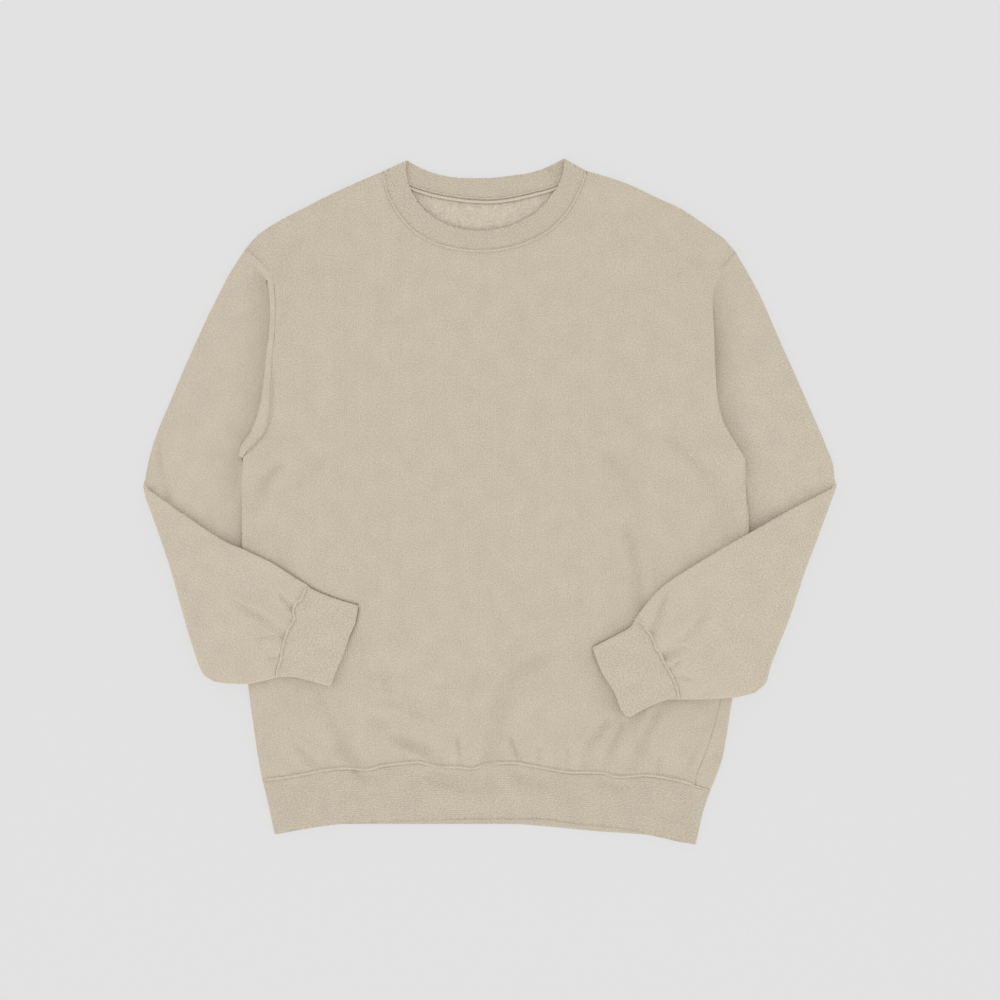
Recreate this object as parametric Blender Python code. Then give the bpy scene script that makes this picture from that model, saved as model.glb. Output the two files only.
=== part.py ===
# A crewneck sweatshirt, laid flat on its back with both arms folded over at the elbow.
# Eight sewn pieces: front, back, two sleeves, a doubled rib collar, two rib cuffs and a hem rib.
# Lengths are in millimetres here and are written out in metres. X is the wearer's left to right
# as seen from above, Y runs from hem to neck and Z is up from the surface it lies on.

import math

import bpy
import numpy as np

# --- driving sizes, mm ---
WALL = 2.2  # brushed fleece
RIB_WALL = 3.4  # rib folded double
SEAM_GAP = 0.18  # each piece stops this far short of its seam line
FLAT_SLEEVE = 4.8  # a sleeve pressed flat, outer face to outer face
RIB_TUBE = 7.4  # a doubled rib tube pressed flat
BODY_LOFT = 9.0  # the body's height in the middle of the chest and belly
FOLD_RADIUS = 2.75  # the middle of a flat tube turns this tightly where it folds over
EDGE_RADIUS = 2.8  # roundness of the side folds and the shoulders
PLEAT_STEP = 0.9  # how far rows stay apart where a pleat runs out
SLEEVE_PUFF = 1.3  # half the extra height of the upper arm in the open
CUFF_LIFT = 1.5  # air between a forearm and what it lies on
BODY_CLEAR = 0.3  # air between the body and the arm pleated under it
ELBOW_REACH = 46.0  # the forearm starts to climb this far outside the body
FOREARM_LENGTH = 150.0
ARMPIT = 0.6  # where the armpit comes on a panel's edge, from hem to shoulder
ARMPIT_Y = 47.0
CENTRE_SHIFT = (0.77, 0.0)  # puts the middle of the outline on the origin

# --- how finely each piece is stepped ---
SHOULDER_COLUMNS = 5
NECK_COLUMNS = 11
# up a panel, from the hem to just below the armpit
SIDE_LEVELS = (0.0, 0.025, 0.06, 0.1, 0.145, 0.19, 0.235, 0.29, 0.36, 0.43, 0.5, 0.525, 0.55)
# from shoulder to armpit, shared by panel and sleeve
ARM_STATIONS = (0.12, 0.26, 0.42, 0.58, 0.74, 0.86, 0.945)
ARC_STEPS = 4
UPPER_ROWS = 7
ELBOW_STEPS = 6
FORE_ROWS = 8
RIB_ROWS = 3


def table(names, rows):
    return {name: np.array(column, float) for name, column in zip(names.split(), zip(*rows))}


def path(*points):
    return np.array(points, float)


# --- the outline, mm: x, y ---
SIDE_LEFT = path(
    (-255, -311), (-260, -283), (-265, -249), (-270, -209), (-274, -144), (-277.5, -53),
    (-277.5, 2), (-277, 47)
)
SIDE_RIGHT = path(
    (247, -322), (256, -300), (260, -288), (264, -267), (271, -222), (278, -178), (286, -110),
    (290, -34), (290, -18), (290, -1), (287, 12), (285, 35), (285, 47)
)
SIDE_SEAM = path(
    (229, -317), (230, -306), (239, -283), (245, -267), (254, -222), (268, -178), (280, -110),
    (286, -33), (285.5, -10), (286, 2), (287.5, 14), (285.1, 47)
)
SIDE_RIGHT_UNDER = path(
    (247, -322), (256, -300), (260, -288), (264, -267), (271, -222), (278, -178), (286, -110),
    (290, -34), (289.5, -11), (282.5, 1), (281, 14), (280, 47)
)
SHOULDER_LEFT = path(
    (-272, 283), (-259, 298), (-236, 314.5), (-210, 328), (-185, 341.3), (-156, 355), (-132, 365),
    (-119, 370)
)
SHOULDER_RIGHT = path(
    (108, 370), (121, 366.7), (155, 355.3), (185, 341.3), (213, 328.3), (234, 314.7), (252, 301.8),
    (262, 294.5), (276, 280)
)
NECK_FRONT = path(
    (-119, 370), (-119, 359), (-116.4, 348), (-112, 337), (-105.8, 325.7), (-97.9, 314.6),
    (-87, 303.4), (-72, 293), (-56.8, 286.6), (-34.4, 281.5), (-12, 279.6), (10.4, 281.2),
    (32.8, 286), (54, 295), (68, 303.4), (79.9, 314.6), (88.8, 325.7), (95.6, 336.9),
    (100.6, 348.1), (105, 359.3), (108, 370)
)
NECK_BACK = path(
    (-119, 370), (-101, 358), (-82, 350), (-56, 343), (-21, 338), (0, 337), (20, 339), (39, 343),
    (55, 347), (71, 351), (90, 360), (108, 370)
)
COLLAR_EDGE_FRONT = path(
    (-93, 382), (-94.5, 374), (-94, 362), (-89.3, 351), (-84, 339), (-76.5, 329), (-66, 319.5),
    (-54, 312), (-41.5, 307.5), (-29, 304.5), (-13, 302.8), (0, 303.5), (21, 308), (38, 315),
    (52, 323.5), (63.5, 335), (71.8, 347), (79.8, 359), (83, 370), (83, 384)
)
COLLAR_EDGE_BACK = path(
    (-93, 382), (-80, 374), (-64, 368), (-45, 363), (-21, 362), (0, 362), (24, 365), (47, 368),
    (63, 374), (75, 380), (83, 384)
)
HEM_SEAM = path(
    (-255, -311), (-240, -310), (-226, -308), (-209, -305), (-183, -300), (-162, -298), (-140, -300),
    (-119, -295), (-102, -293), (-82, -291), (-59, -296), (-34, -297), (-21, -299), (-3, -293),
    (26, -292), (50, -296), (98, -303), (123, -303), (144, -308), (174, -306), (208, -311),
    (220, -314), (229, -317), (247, -322)
)
HEM_SEAM_UNDER = path(
    (-255, -311), (-180, -304), (-90, -299), (0, -297), (110, -303), (190, -311), (247, -322)
)
HEM_EDGE_FRONT = path(
    (-241, -371), (-209, -366), (-162, -360), (-82, -356), (9, -354), (49, -354), (93, -359),
    (150, -365), (183, -372), (212, -380), (230, -384)
)
HEM_EDGE_BACK = path(
    (-241, -373), (-209, -367), (-183, -363), (-162, -361), (-101, -361), (22, -361), (67, -364),
    (119, -369), (174, -373), (212, -381), (230, -384)
)
HEM_LEFT = path((-255, -311), (-253, -318), (-248, -340), (-241, -372))
HEM_RIGHT = path((247, -322), (238, -349), (234, -367), (230, -384))

# --- the pleat where each arm is turned down at its armhole ---
# w runs from the shoulder tip to the armpit; lead is cloth between the seam and the fold,
# turn is how far the fold closes in degrees, tuck is how deep it goes, out_x and out_y point along the arm.
ARMHOLE_LEFT = table("w x y lead turn tuck out_x out_y", [
    (0.00, -271, 282, 1.2, 0, 0.5, -0.48, -0.88),
    (0.08, -258, 270, 1.2, 35, 0.5, -0.75, -0.66),
    (0.15, -246, 257, 1.2, 70, 0.5, -0.95, -0.31),
    (0.25, -240, 230, 1.2, 105, 1.0, -1.00, 0.00),
    (0.42, -241, 186, 1.2, 140, 3.0, -1.00, 0.00),
    (0.65, -246, 125, 5.0, 172, 9.0, -1.00, 0.00),
    (0.78, -248, 95, 7.0, 180, 12.0, -1.00, 0.00),
    (0.87, -254, 77, 9.0, 180, 13.0, -1.00, 0.00),
    (0.94, -264, 60, 9.0, 180, 13.0, -1.00, 0.00),
    (1.00, -275, 47, 2.0, 180, 13.0, -1.00, 0.00),
])
ARMHOLE_RIGHT = table("w x y lead turn tuck out_x out_y", [
    (0.00, 275, 279, 0.0, 0, 0.5, 0.48, -0.88),
    (0.08, 263, 267, 0.0, 35, 0.5, 0.75, -0.66),
    (0.15, 250, 257, 0.0, 70, 0.5, 0.95, -0.31),
    (0.25, 243, 232, 0.0, 105, 1.0, 1.00, 0.00),
    (0.42, 245, 186, 0.0, 140, 3.0, 1.00, 0.00),
    (0.65, 248, 125, 0.0, 172, 9.0, 1.00, 0.00),
    (0.78, 254, 94, 0.0, 180, 12.0, 1.00, 0.00),
    (0.87, 262, 77, 0.0, 180, 13.0, 1.00, 0.00),
    (0.94, 272, 61, 0.0, 180, 13.0, 1.00, 0.00),
    (1.00, 280, 47, 0.0, 180, 13.0, 1.00, 0.00),
])
# How the body lies over each arm below its armpit: height over the surface at the side edge,
# how far in from the edge it holds that height, and how far it then takes to come down.
OVER_ARM = table("y height hold fall", [
    (-236, 0.0, 8, 50),
    (-188, 5.8, 26, 56),
    (-150, 5.8, 48, 60),
    (-110, 5.8, 66, 62),
    (-60, 5.8, 68, 62),
    (-10, 6.0, 58, 66),
    (25, 9.4, 40, 74),
    (47, 11.3, 28, 80),
])
OVER_ARMHOLE_HOLD = 20.0
OVER_ARMPIT_HOLD = 26.0
ARMPIT_REACH = 53.0  # the armhole's hold grows to the armpit's over this length
OVER_ARMHOLE_FALL = 80.0
# The body's height at its edges, pressed under the forearms and full at hem and neck.
EDGE_HEIGHT = table("y height", [
    (-320, 7.4), (-285, 7.2), (-230, 6.2), (-150, 5.2), (47, 4.8), (300, 4.8)
])
SHOULDER_HEIGHT = table("x height", [
    (-272, 4.8), (-200, 5.8), (-119, 7.4), (105, 7.4), (190, 5.8), (276, 4.8)
])
SHOULDER_SPAN = (200.0, 290.0)  # the side's height gives way to the shoulder's between these y
# How far in from each border the body reaches its full loft.
FILL_FROM_SIDE = 95.0
FILL_FROM_SHOULDER = 80.0
FILL_FROM_HEM = 90.0
HEM_START = -330.0

# --- the arms, mm ---
ARM_LEFT = {
    "outer": path((-298, 235), (-319.5, 194), (-340, 154), (-358, 114), (-375, 73), (-383.5, 46)),
    "underarm": path((-250, 8), (-236, -30), (-226, -70), (-226, -112), (-252, -150)),
    "fold": path((-388, 18), (-372, -34), (-358, -74), (-343, -128), (-327, -181), (-318, -199)),
    "forearm_top": path((-342, -15), (-291, -48), (-277, -54), (-261, -62)),
    "forearm_bottom": path((-311, -203), (-274, -204), (-254, -200)),
    "cuff_seam": path(
        (-205, -92), (-207, -100), (-211, -109), (-218, -115), (-220, -122), (-218, -129), (-225, -142),
        (-229, -153), (-232, -166), (-234, -179), (-237, -185), (-238, -197)
    ),
    "cuff_top": path((-205, -92), (-201, -96), (-189, -102), (-174, -108), (-161, -112), (-147, -116)),
    "cuff_bottom": path((-238, -197), (-224, -197), (-213, -199), (-199, -202), (-178, -207)),
    "cuff_end": path(
        (-147, -116), (-150, -134), (-157, -151), (-161, -163), (-165, -175), (-170, -185), (-178, -207)
    ),
}
ARM_RIGHT = {
    "outer": path((300, 235), (324, 181), (342, 141), (360, 100), (376, 60), (383, 36)),
    "underarm": path((255, 8), (241, -30), (229, -70), (229, -112), (254, -152)),
    "fold": path((387, 16), (368, -34), (354, -74), (336, -128), (320, -169), (309, -200)),
    "forearm_top": path((336, -9), (290, -35), (239, -66), (196, -100)),
    "forearm_bottom": path((302, -209), (286, -217), (272, -220), (235, -224)),
    "cuff_seam": path(
        (162, -131), (168, -134), (174, -141), (179, -148), (183, -156), (185, -163), (190, -169),
        (194, -178), (199, -187), (204, -196), (207, -203), (210, -211), (211, -223)
    ),
    "cuff_top": path((162, -131), (158, -139), (143, -148), (114, -163)),
    "cuff_bottom": path((211, -223), (203, -223), (194, -225), (181, -230), (168, -236), (155, -241)),
    "cuff_end": path((114, -163), (124, -189), (138, -212), (148, -235), (155, -241)),
}

# --- the largest soft folds of the front: where each runs, how wide and how deep ---
FRONT_FOLDS = [
    {"along": path((231, 46), (240, 27), (249, 13), (258, -2), (264, -30)), "width": 8, "depth": 1.3},
    {"along": path((141, 52), (149, -30), (162, -66), (174, -106)), "width": 20, "depth": 0.9},
    {"along": path((78, -161), (52, -176), (27, -201), (11, -228), (3, -247), (0, -282)),
     "width": 13, "depth": 1.7},
    {"along": path((141, -239), (119, -269), (113, -288)), "width": 8, "depth": 1.3},
    {"along": path((162, -245), (147, -269), (136, -291)), "width": 8, "depth": 1.3},
    {"along": path((193, -228), (176, -258), (162, -283), (157, -300)), "width": 9, "depth": 1.5},
    {"along": path((22, -268), (26, -281), (30, -290)), "width": 6, "depth": 1.1},
    {"along": path((-192, -209), (-181, -240), (-176, -269), (-166, -283), (-152, -295)),
     "width": 10, "depth": 1.6},
    {"along": path((-221, -275), (-207, -300)), "width": 7, "depth": 1.2},
    {"along": path((-115, -266), (-102, -266), (-84, -271), (-72, -280), (-61, -293)),
     "width": 9, "depth": 1.7},
    {"along": path((-105, -230), (-89, -237), (-72, -244)), "width": 11, "depth": 0.9},
    {"along": path((-37, -262), (-35, -277), (-32, -293)), "width": 7, "depth": 1.1},
    {"along": path((-245, 31), (-256, 13), (-258, -8)), "width": 8, "depth": 0.9},
]
# Creases of the forearms next to their cuffs.
SLEEVE_FOLDS = [
    {"along": path((-226, -146), (-236, -142), (-246, -135), (-259, -128), (-284, -118)),
     "width": 7, "depth": 1.2},
    {"along": path((-230, -165), (-246, -161), (-259, -162)), "width": 6, "depth": 0.8},
    {"along": path((178, -146), (187, -135), (194, -122), (203, -106)), "width": 7, "depth": 1.3},
    {"along": path((190, -173), (205, -162), (222, -150), (241, -144)), "width": 7, "depth": 1.2},
    {"along": path((202, -195), (217, -194), (232, -197)), "width": 6, "depth": 0.8},
]

COLOURS = {"fleece": (0.56, 0.49, 0.385, 1.0), "rib": (0.53, 0.465, 0.365, 1.0)}


# --- small tools ---
def smooth(t):
    t = np.clip(t, 0.0, 1.0)
    return t * t * (3.0 - 2.0 * t)


def eased(x, xs, ys):
    """A table's values between its rows, without overshoot."""
    xs = np.asarray(xs, float)
    ys = np.asarray(ys, float)
    step = np.diff(xs)
    slope = np.diff(ys) / step
    tangent = np.zeros_like(ys)
    same = slope[:-1] * slope[1:] > 0
    total = np.where(same, slope[:-1] + slope[1:], 1.0)
    tangent[1:-1] = np.where(same, 2.0 * slope[:-1] * slope[1:] / total, 0.0)
    x = np.clip(x, xs[0], xs[-1])
    i = np.clip(np.searchsorted(xs, x, side="right") - 1, 0, len(step) - 1)
    t = (x - xs[i]) / step[i]
    near = (1.0 + 2.0 * t) * (1.0 - t) ** 2 * ys[i] + t * (1.0 - t) ** 2 * step[i] * tangent[i]
    far = t * t * (3.0 - 2.0 * t) * ys[i + 1] + t * t * (t - 1.0) * step[i] * tangent[i + 1]
    return near + far


def curve(points):
    """Points at given shares of a smooth line's length."""
    points = np.asarray(points, float)
    reach = np.concatenate([[0.0], np.cumsum(np.linalg.norm(np.diff(points, axis=0), axis=1))])
    reach /= reach[-1]

    def at(t):
        return np.stack([eased(t, reach, points[:, 0]), eased(t, reach, points[:, 1])], axis=-1)

    return at


def patch(bottom, top, left, right, u, v):
    """Points inside four border lines. The side borders' shape fades out a third of the way in."""
    ends = np.array([0.0, 1.0])
    near = smooth(1.0 - u / 0.3)[..., None]
    far = smooth(1.0 - (1.0 - u) / 0.3)[..., None]
    vv = v[..., None]
    a = left(ends)
    b = right(ends)
    xy = (1 - vv) * bottom(u) + vv * top(u)
    xy = xy + near * (left(v) - (1 - vv) * a[0] - vv * a[1])
    return xy + far * (right(v) - (1 - vv) * b[0] - vv * b[1])


def distance_to(xy, along):
    """How far points are from a line, and where along it the nearest place is."""
    best = np.full(xy.shape[:-1], 1e9)
    share = np.zeros(xy.shape[:-1])
    for k, (a, b) in enumerate(zip(along[:-1], along[1:])):
        t = np.clip(((xy - a) @ (b - a)) / np.dot(b - a, b - a), 0.0, 1.0)
        d = np.linalg.norm(xy - (a + t[..., None] * (b - a)), axis=-1)
        share = np.where(d < best, (k + t) / (len(along) - 1), share)
        best = np.minimum(best, d)
    return best, share


def fold_depth(xy, folds):
    """How deep the soft folds are at points."""
    depth = np.zeros(xy.shape[:-1])
    for fold in folds:
        d, share = distance_to(xy, fold["along"])
        ends = 0.35 + 0.65 * np.sin(np.pi * np.clip(share, 0.0, 1.0)) ** 0.7
        depth = np.maximum(depth, fold["depth"] * ends * np.exp(-((d / fold["width"]) ** 2)))
    return depth


def unit(v):
    return v / np.maximum(np.linalg.norm(v, axis=-1, keepdims=True), 1e-9)


# --- how high the body lies ---
def pleat_drop(turn, tuck):
    angle = np.radians(turn)
    return 2.0 * FOLD_RADIUS * (1.0 - np.cos(angle)) + tuck * np.sin(angle)


def armhole_line(side, w):
    """The armhole's columns at places from shoulder tip to armpit."""
    armhole = ARMHOLE_LEFT if side == "left" else ARMHOLE_RIGHT
    return {name: eased(w, armhole["w"], column) for name, column in armhole.items()}


def edge_line(side):
    """The body's edge from hem to shoulder tip: y, x, and the drop of the pleat at it."""
    border = SIDE_LEFT if side == "left" else SIDE_RIGHT
    line = armhole_line(side, np.linspace(1.0, 0.0, 81))
    drop = pleat_drop(line["turn"], line["tuck"])
    ys = np.concatenate([border[:-1, 1], line["y"]])
    xs = np.concatenate([border[:-1, 0], line["x"]])
    return {"y": ys, "x": xs, "arm_y": line["y"], "drop": drop}


EDGES = {side: edge_line(side) for side in ("left", "right")}


def inset_from(side, x, y):
    edge = np.interp(y, EDGES[side]["y"], EDGES[side]["x"])
    return x - edge if side == "left" else edge - x


def lift(x, y):
    """Height of the body's underside: it lies over the arms that are tucked beneath it."""
    total = np.zeros_like(x)
    above = y > ARMPIT_Y
    near_pit = smooth((ARMPIT_Y + ARMPIT_REACH - y) / ARMPIT_REACH)
    armhole_hold = OVER_ARMHOLE_HOLD + (OVER_ARMPIT_HOLD - OVER_ARMHOLE_HOLD) * near_pit
    for side in ("left", "right"):
        drop = np.interp(y, EDGES[side]["arm_y"], EDGES[side]["drop"])
        height = np.where(above, drop + BODY_CLEAR, eased(y, OVER_ARM["y"], OVER_ARM["height"]))
        hold = np.where(above, armhole_hold, eased(y, OVER_ARM["y"], OVER_ARM["hold"]))
        fall = np.where(above, OVER_ARMHOLE_FALL, eased(y, OVER_ARM["y"], OVER_ARM["fall"]))
        inset = inset_from(side, x, y)
        total = total + height * (1.0 - smooth((inset - hold) / fall))
    return total


def thickness(x, y):
    """The body's height from underside to top face."""
    side = eased(y, EDGE_HEIGHT["y"], EDGE_HEIGHT["height"])
    shoulder = eased(x, SHOULDER_HEIGHT["x"], SHOULDER_HEIGHT["height"])
    start, end = SHOULDER_SPAN
    border = side + (shoulder - side) * smooth((y - start) / (end - start))
    inset = np.minimum(inset_from("left", x, y), inset_from("right", x, y))
    shoulder_line = np.concatenate([SHOULDER_LEFT, SHOULDER_RIGHT])
    below = np.interp(x, shoulder_line[:, 0], shoulder_line[:, 1]) - y
    fill = smooth(inset / FILL_FROM_SIDE) * smooth((below + WALL) / FILL_FROM_SHOULDER)
    fill = fill * smooth((y - HEM_START) / FILL_FROM_HEM)
    return border + (BODY_LOFT - border) * fill


def front_top(xy, folded=True):
    x = xy[..., 0]
    y = xy[..., 1]
    top = lift(x, y) + thickness(x, y)
    if folded:
        top = top - fold_depth(xy, FRONT_FOLDS)
    return top


# --- closed walls from grids of points ---
def add_piece(name, outer, inner, keep, closed, colour):
    """A closed wall: an outer grid and an inner grid, joined along every open border."""
    rows, columns = outer.shape[:2]
    count = rows * columns
    verts = np.concatenate([outer.reshape(-1, 3), inner.reshape(-1, 3)]) * 0.001
    quads = []
    span = columns if closed else columns - 1
    for i in range(rows - 1):
        for j in range(span):
            k = (j + 1) % columns
            if keep[i, j]:
                low = i * columns
                high = low + columns
                quads.append((low + j, low + k, high + k, high + j))
    used = {}
    for quad in quads:
        for a, b in zip(quad, quad[1:] + quad[:1]):
            used[(a, b)] = used.get((a, b), 0) + 1
    faces = list(quads)
    faces += [tuple(count + k for k in reversed(quad)) for quad in quads]
    for a, b in used:
        if (b, a) not in used:
            faces.append((b, a, count + a, count + b))
    mesh = bpy.data.meshes.new(name)
    wanted = sorted({k for face in faces for k in face})
    place = {k: n for n, k in enumerate(wanted)}
    corners = [tuple(verts[k]) for k in wanted]
    mesh.from_pydata(corners, [], [tuple(place[k] for k in face) for face in faces])
    volume = 0.0
    for face in mesh.polygons:
        corners = [mesh.vertices[k].co for k in face.vertices]
        for b, c in zip(corners[1:-1], corners[2:]):
            volume += corners[0].dot(b.cross(c))
    if volume < 0:
        mesh.flip_normals()
    mesh.polygons.foreach_set("use_smooth", [True] * len(mesh.polygons))
    mesh.update()
    obj = bpy.data.objects.new(name, mesh)
    bpy.context.scene.collection.objects.link(obj)
    material = bpy.data.materials.new(colour + "_" + name)
    material.use_nodes = True
    shader = material.node_tree.nodes["Principled BSDF"]
    shader.inputs["Base Color"].default_value = COLOURS[colour]
    shader.inputs["Roughness"].default_value = 0.95
    shader.inputs["Sheen Weight"].default_value = 0.3
    mesh.materials.append(material)
    return obj


def moved(points):
    out = points.copy()
    out[..., 0] += CENTRE_SHIFT[0]
    out[..., 1] += CENTRE_SHIFT[1]
    return out


# --- the body's two panels ---
ROUND = np.radians([0.0, 30.0, 60.0, 90.0])
NECK_START = 0.27  # where the neckline begins and ends along a panel's top
NECK_END = 0.71
NECK_TURN = 0.006  # the shoulder fold runs this far into the neckline
PANEL_WIDTH = 540.0
PANEL_HEIGHT = 600.0
ROLL_RADIUS = FOLD_RADIUS + FLAT_SLEEVE / 2.0
HEM_END = float(np.linalg.norm(np.diff(HEM_SEAM[:-1], axis=0), axis=1).sum()
                / np.linalg.norm(np.diff(HEM_SEAM, axis=0), axis=1).sum())


def spread(first, last, count):
    return list(np.linspace(first, last, count + 2)[1:-1])


def panel_columns():
    """Places across a panel, with the turned edges and the neck's corners among them."""
    edge = list(EDGE_RADIUS * (1.0 - np.cos(ROUND)) / PANEL_WIDTH)
    first = NECK_START + NECK_TURN
    last = NECK_END - NECK_TURN
    neck = [NECK_START, first] + spread(first, last, NECK_COLUMNS) + [last, NECK_END]
    left = spread(edge[-1], NECK_START, SHOULDER_COLUMNS)
    right = spread(NECK_END, 1.0 - edge[-1], SHOULDER_COLUMNS)
    return np.array(edge + left + neck + right + [1.0 - e for e in reversed(edge)])


def panel_levels():
    """Places up a panel, from the hem to the armpit and on to the shoulder."""
    arm = [ARMPIT + (1.0 - w) * (1.0 - ARMPIT) for w in reversed(ARM_STATIONS)]
    top = [1.0 - e / PANEL_HEIGHT for e in EDGE_RADIUS * (1.0 - np.cos(ROUND[::-1]))]
    return np.array(list(SIDE_LEVELS) + [ARMPIT] + arm + top)


def armhole_edge(side, face):
    """The armhole on one panel, from armpit to shoulder tip."""

    def at(t):
        line = armhole_line(side, 1.0 - t)
        reach = np.zeros_like(t)
        if side == "right":
            radius = FOLD_RADIUS + (0.5 if face == "front" else -0.5) * FLAT_SLEEVE
            reach = radius * np.sin(np.radians(line["turn"]) / 2.0)
        out = unit(np.stack([line["out_x"], line["out_y"]], axis=-1))
        return np.stack([line["x"], line["y"]], axis=-1) + out * reach[..., None]

    return at


def joined(first, second, share):
    """One line made of two, the first taking the given share."""

    def at(t):
        low = first(np.clip(t / share, 0.0, 1.0))
        high = second(np.clip((t - share) / (1.0 - share), 0.0, 1.0))
        return np.where((t < share)[..., None], low, high)

    return at


def panel_borders(face):
    neck = curve(NECK_FRONT if face == "front" else NECK_BACK)
    left = joined(curve(SIDE_LEFT), armhole_edge("left", face), ARMPIT)
    right_side = curve(SIDE_SEAM if face == "front" else SIDE_RIGHT_UNDER)
    right = joined(right_side, armhole_edge("right", face), ARMPIT)
    shoulder_left = SHOULDER_LEFT.copy()
    shoulder_left[0] = left(np.ones(1))[0]
    shoulder_right = SHOULDER_RIGHT.copy()
    shoulder_right[-1] = right(np.ones(1))[0]
    top = joined(joined(curve(shoulder_left), neck, NECK_START / NECK_END), curve(shoulder_right), NECK_END)
    seam = curve(HEM_SEAM if face == "front" else HEM_SEAM_UNDER)
    end = HEM_END if face == "front" else 1.0

    def bottom(u):
        return seam(u * end)

    return bottom, top, left, right


def panel_point(face, inside, borders):
    """Points of one face of a panel: plain inside, rounded where it turns to the other side."""
    u, v = np.meshgrid(panel_columns(), panel_levels())
    inset = WALL if inside else 0.0
    bottom, top, left, right = borders
    # how far each edge turns under, 0 to 1
    below = (v < ARMPIT - 0.01).astype(float)
    below_right = (v < SIDE_LEVELS[-2] - 0.01).astype(float)
    rolls = v > SIDE_LEVELS[-1] - 0.01
    roll = np.zeros(u.shape)
    roll_side = np.zeros(u.shape)
    if face == "front":
        line = armhole_line("right", np.clip((1.0 - v) / (1.0 - ARMPIT), 0.0, 1.0))
        halfway = np.where(rolls, np.radians(line["turn"]) / 2.0, 0.0)
        roll = 1.0 - np.cos(halfway)
        roll_side = np.sin(halfway)
    over_neck = (u > NECK_START + 1e-6) & (u < NECK_END - 1e-6)
    on_top = np.where(over_neck, 0.0, 1.0)
    rise_u = np.ones(u.shape)
    rise_roll = np.ones(u.shape)
    columns = u.shape[1]
    for k, angle in enumerate(ROUND):
        near = EDGE_RADIUS * (1.0 - math.cos(angle))
        shift = inset * math.cos(angle)
        rolled = (ROLL_RADIUS - inset) * (1.0 - math.cos(angle)) - near
        u[:, k] += below[:, k] * shift / PANEL_WIDTH
        rise_u[:, k] = 1.0 - below[:, k] * (1.0 - math.sin(angle))
        j = columns - 1 - k
        if face == "front":
            u[:, j] -= (roll[:, j] * rolled + roll_side[:, j] * inset) / PANEL_WIDTH
            rise_roll[:, j] = math.sin(angle)
        else:
            u[:, j] -= below_right[:, j] * shift / PANEL_WIDTH
            rise_u[:, j] = 1.0 - below_right[:, j] * (1.0 - math.sin(angle))
    rows = v.shape[0]
    rise_v = np.ones(u.shape)
    for k, angle in enumerate(ROUND):
        i = rows - 1 - k
        shift = inset * math.cos(angle)
        v[i] -= on_top[i] * shift / PANEL_HEIGHT
        rise_v[i] = 1.0 - on_top[i] * (1.0 - math.sin(angle))
    gap = SEAM_GAP / PANEL_WIDTH
    plain_left = 1.0 - below
    plain_right = 1.0 - (roll if face == "front" else below_right)
    u = np.maximum(u, gap * plain_left)
    u = np.minimum(u, 1.0 - gap * plain_right)
    v = np.clip(v, gap, 1.0 - gap * (1.0 - on_top))
    xy = patch(bottom, top, left, right, u, v)
    x = xy[..., 0]
    y = xy[..., 1]
    tall = thickness(x, y)
    low = lift(x, y)
    turn = np.minimum(rise_u, rise_v)
    half = tall / 2.0 - inset
    if face == "front":
        z = low + tall / 2.0 + SEAM_GAP * (1.0 - turn) + half * turn
        z = z - fold_depth(xy, FRONT_FOLDS) * turn
        z = z - (ROLL_RADIUS - inset) * roll * (1.0 - rise_roll)
    else:
        z = low + tall / 2.0 - SEAM_GAP * (1.0 - turn) - half * turn
    return np.concatenate([xy, z[..., None]], axis=-1)


def build_front():
    borders = panel_borders("front")
    outer = panel_point("front", False, borders)
    inner = panel_point("front", True, borders)
    keep = np.ones(outer.shape[:2], bool)
    return add_piece("front", moved(outer), moved(inner), keep, False, "fleece")


# From the back's right edge up and over to the side seam: degrees round the edge, then the
# share of the way in.
WRAP_STEPS = ((30.0, 0.0), (60.0, 0.0), (90.0, 0.0), (90.0, 0.5), (90.0, 1.0))


def wrap_point(angle, share, inside, levels):
    """Points of the part of the back that comes round the right side."""
    side = curve(SIDE_RIGHT_UNDER)(np.clip(levels / ARMPIT, 0.0, 1.0))
    seam = curve(SIDE_SEAM)(np.clip(levels / ARMPIT, 0.0, 1.0))
    inset = WALL if inside else 0.0
    reach = np.maximum(np.linalg.norm(seam - side, axis=-1) - SEAM_GAP, 2.0)
    inward = unit(seam - side)
    turned = inset + (EDGE_RADIUS - inset) * (1.0 - math.cos(math.radians(angle)))
    into = turned + share * np.maximum(reach - EDGE_RADIUS, 0.3)
    xy = side + inward * into[:, None]
    x = xy[:, 0]
    y = xy[:, 1]
    tall = thickness(x, y)
    rise = math.sin(math.radians(angle))
    z = lift(x, y) + tall / 2.0 + SEAM_GAP * (1.0 - rise) + (tall / 2.0 - inset) * rise
    return np.concatenate([xy, z[:, None]], axis=-1)


def build_back():
    """The back comes round the right side and ends at the side seam, on the front."""
    borders = panel_borders("back")
    outer = panel_point("back", False, borders)
    inner = panel_point("back", True, borders)
    levels = panel_levels()
    last_row = len(SIDE_LEVELS) - 3
    wraps = []
    for inside in (False, True):
        wraps.append(np.stack([wrap_point(a, b, inside, levels) for a, b in WRAP_STEPS], axis=1))
    # the part that comes round narrows away at the armpit, where the sleeve begins
    width = outer.shape[1]
    outer = np.concatenate([outer, wraps[0]], axis=1)
    inner = np.concatenate([inner, wraps[1]], axis=1)
    keep = np.ones(outer.shape[:2], bool)
    keep[last_row:, width - 1:] = False
    return add_piece("back", moved(outer), moved(inner), keep, False, "fleece")


# --- flattened tubes ---
TUBE_ROUND = np.radians([0.0, 45.0, 90.0])


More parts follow.
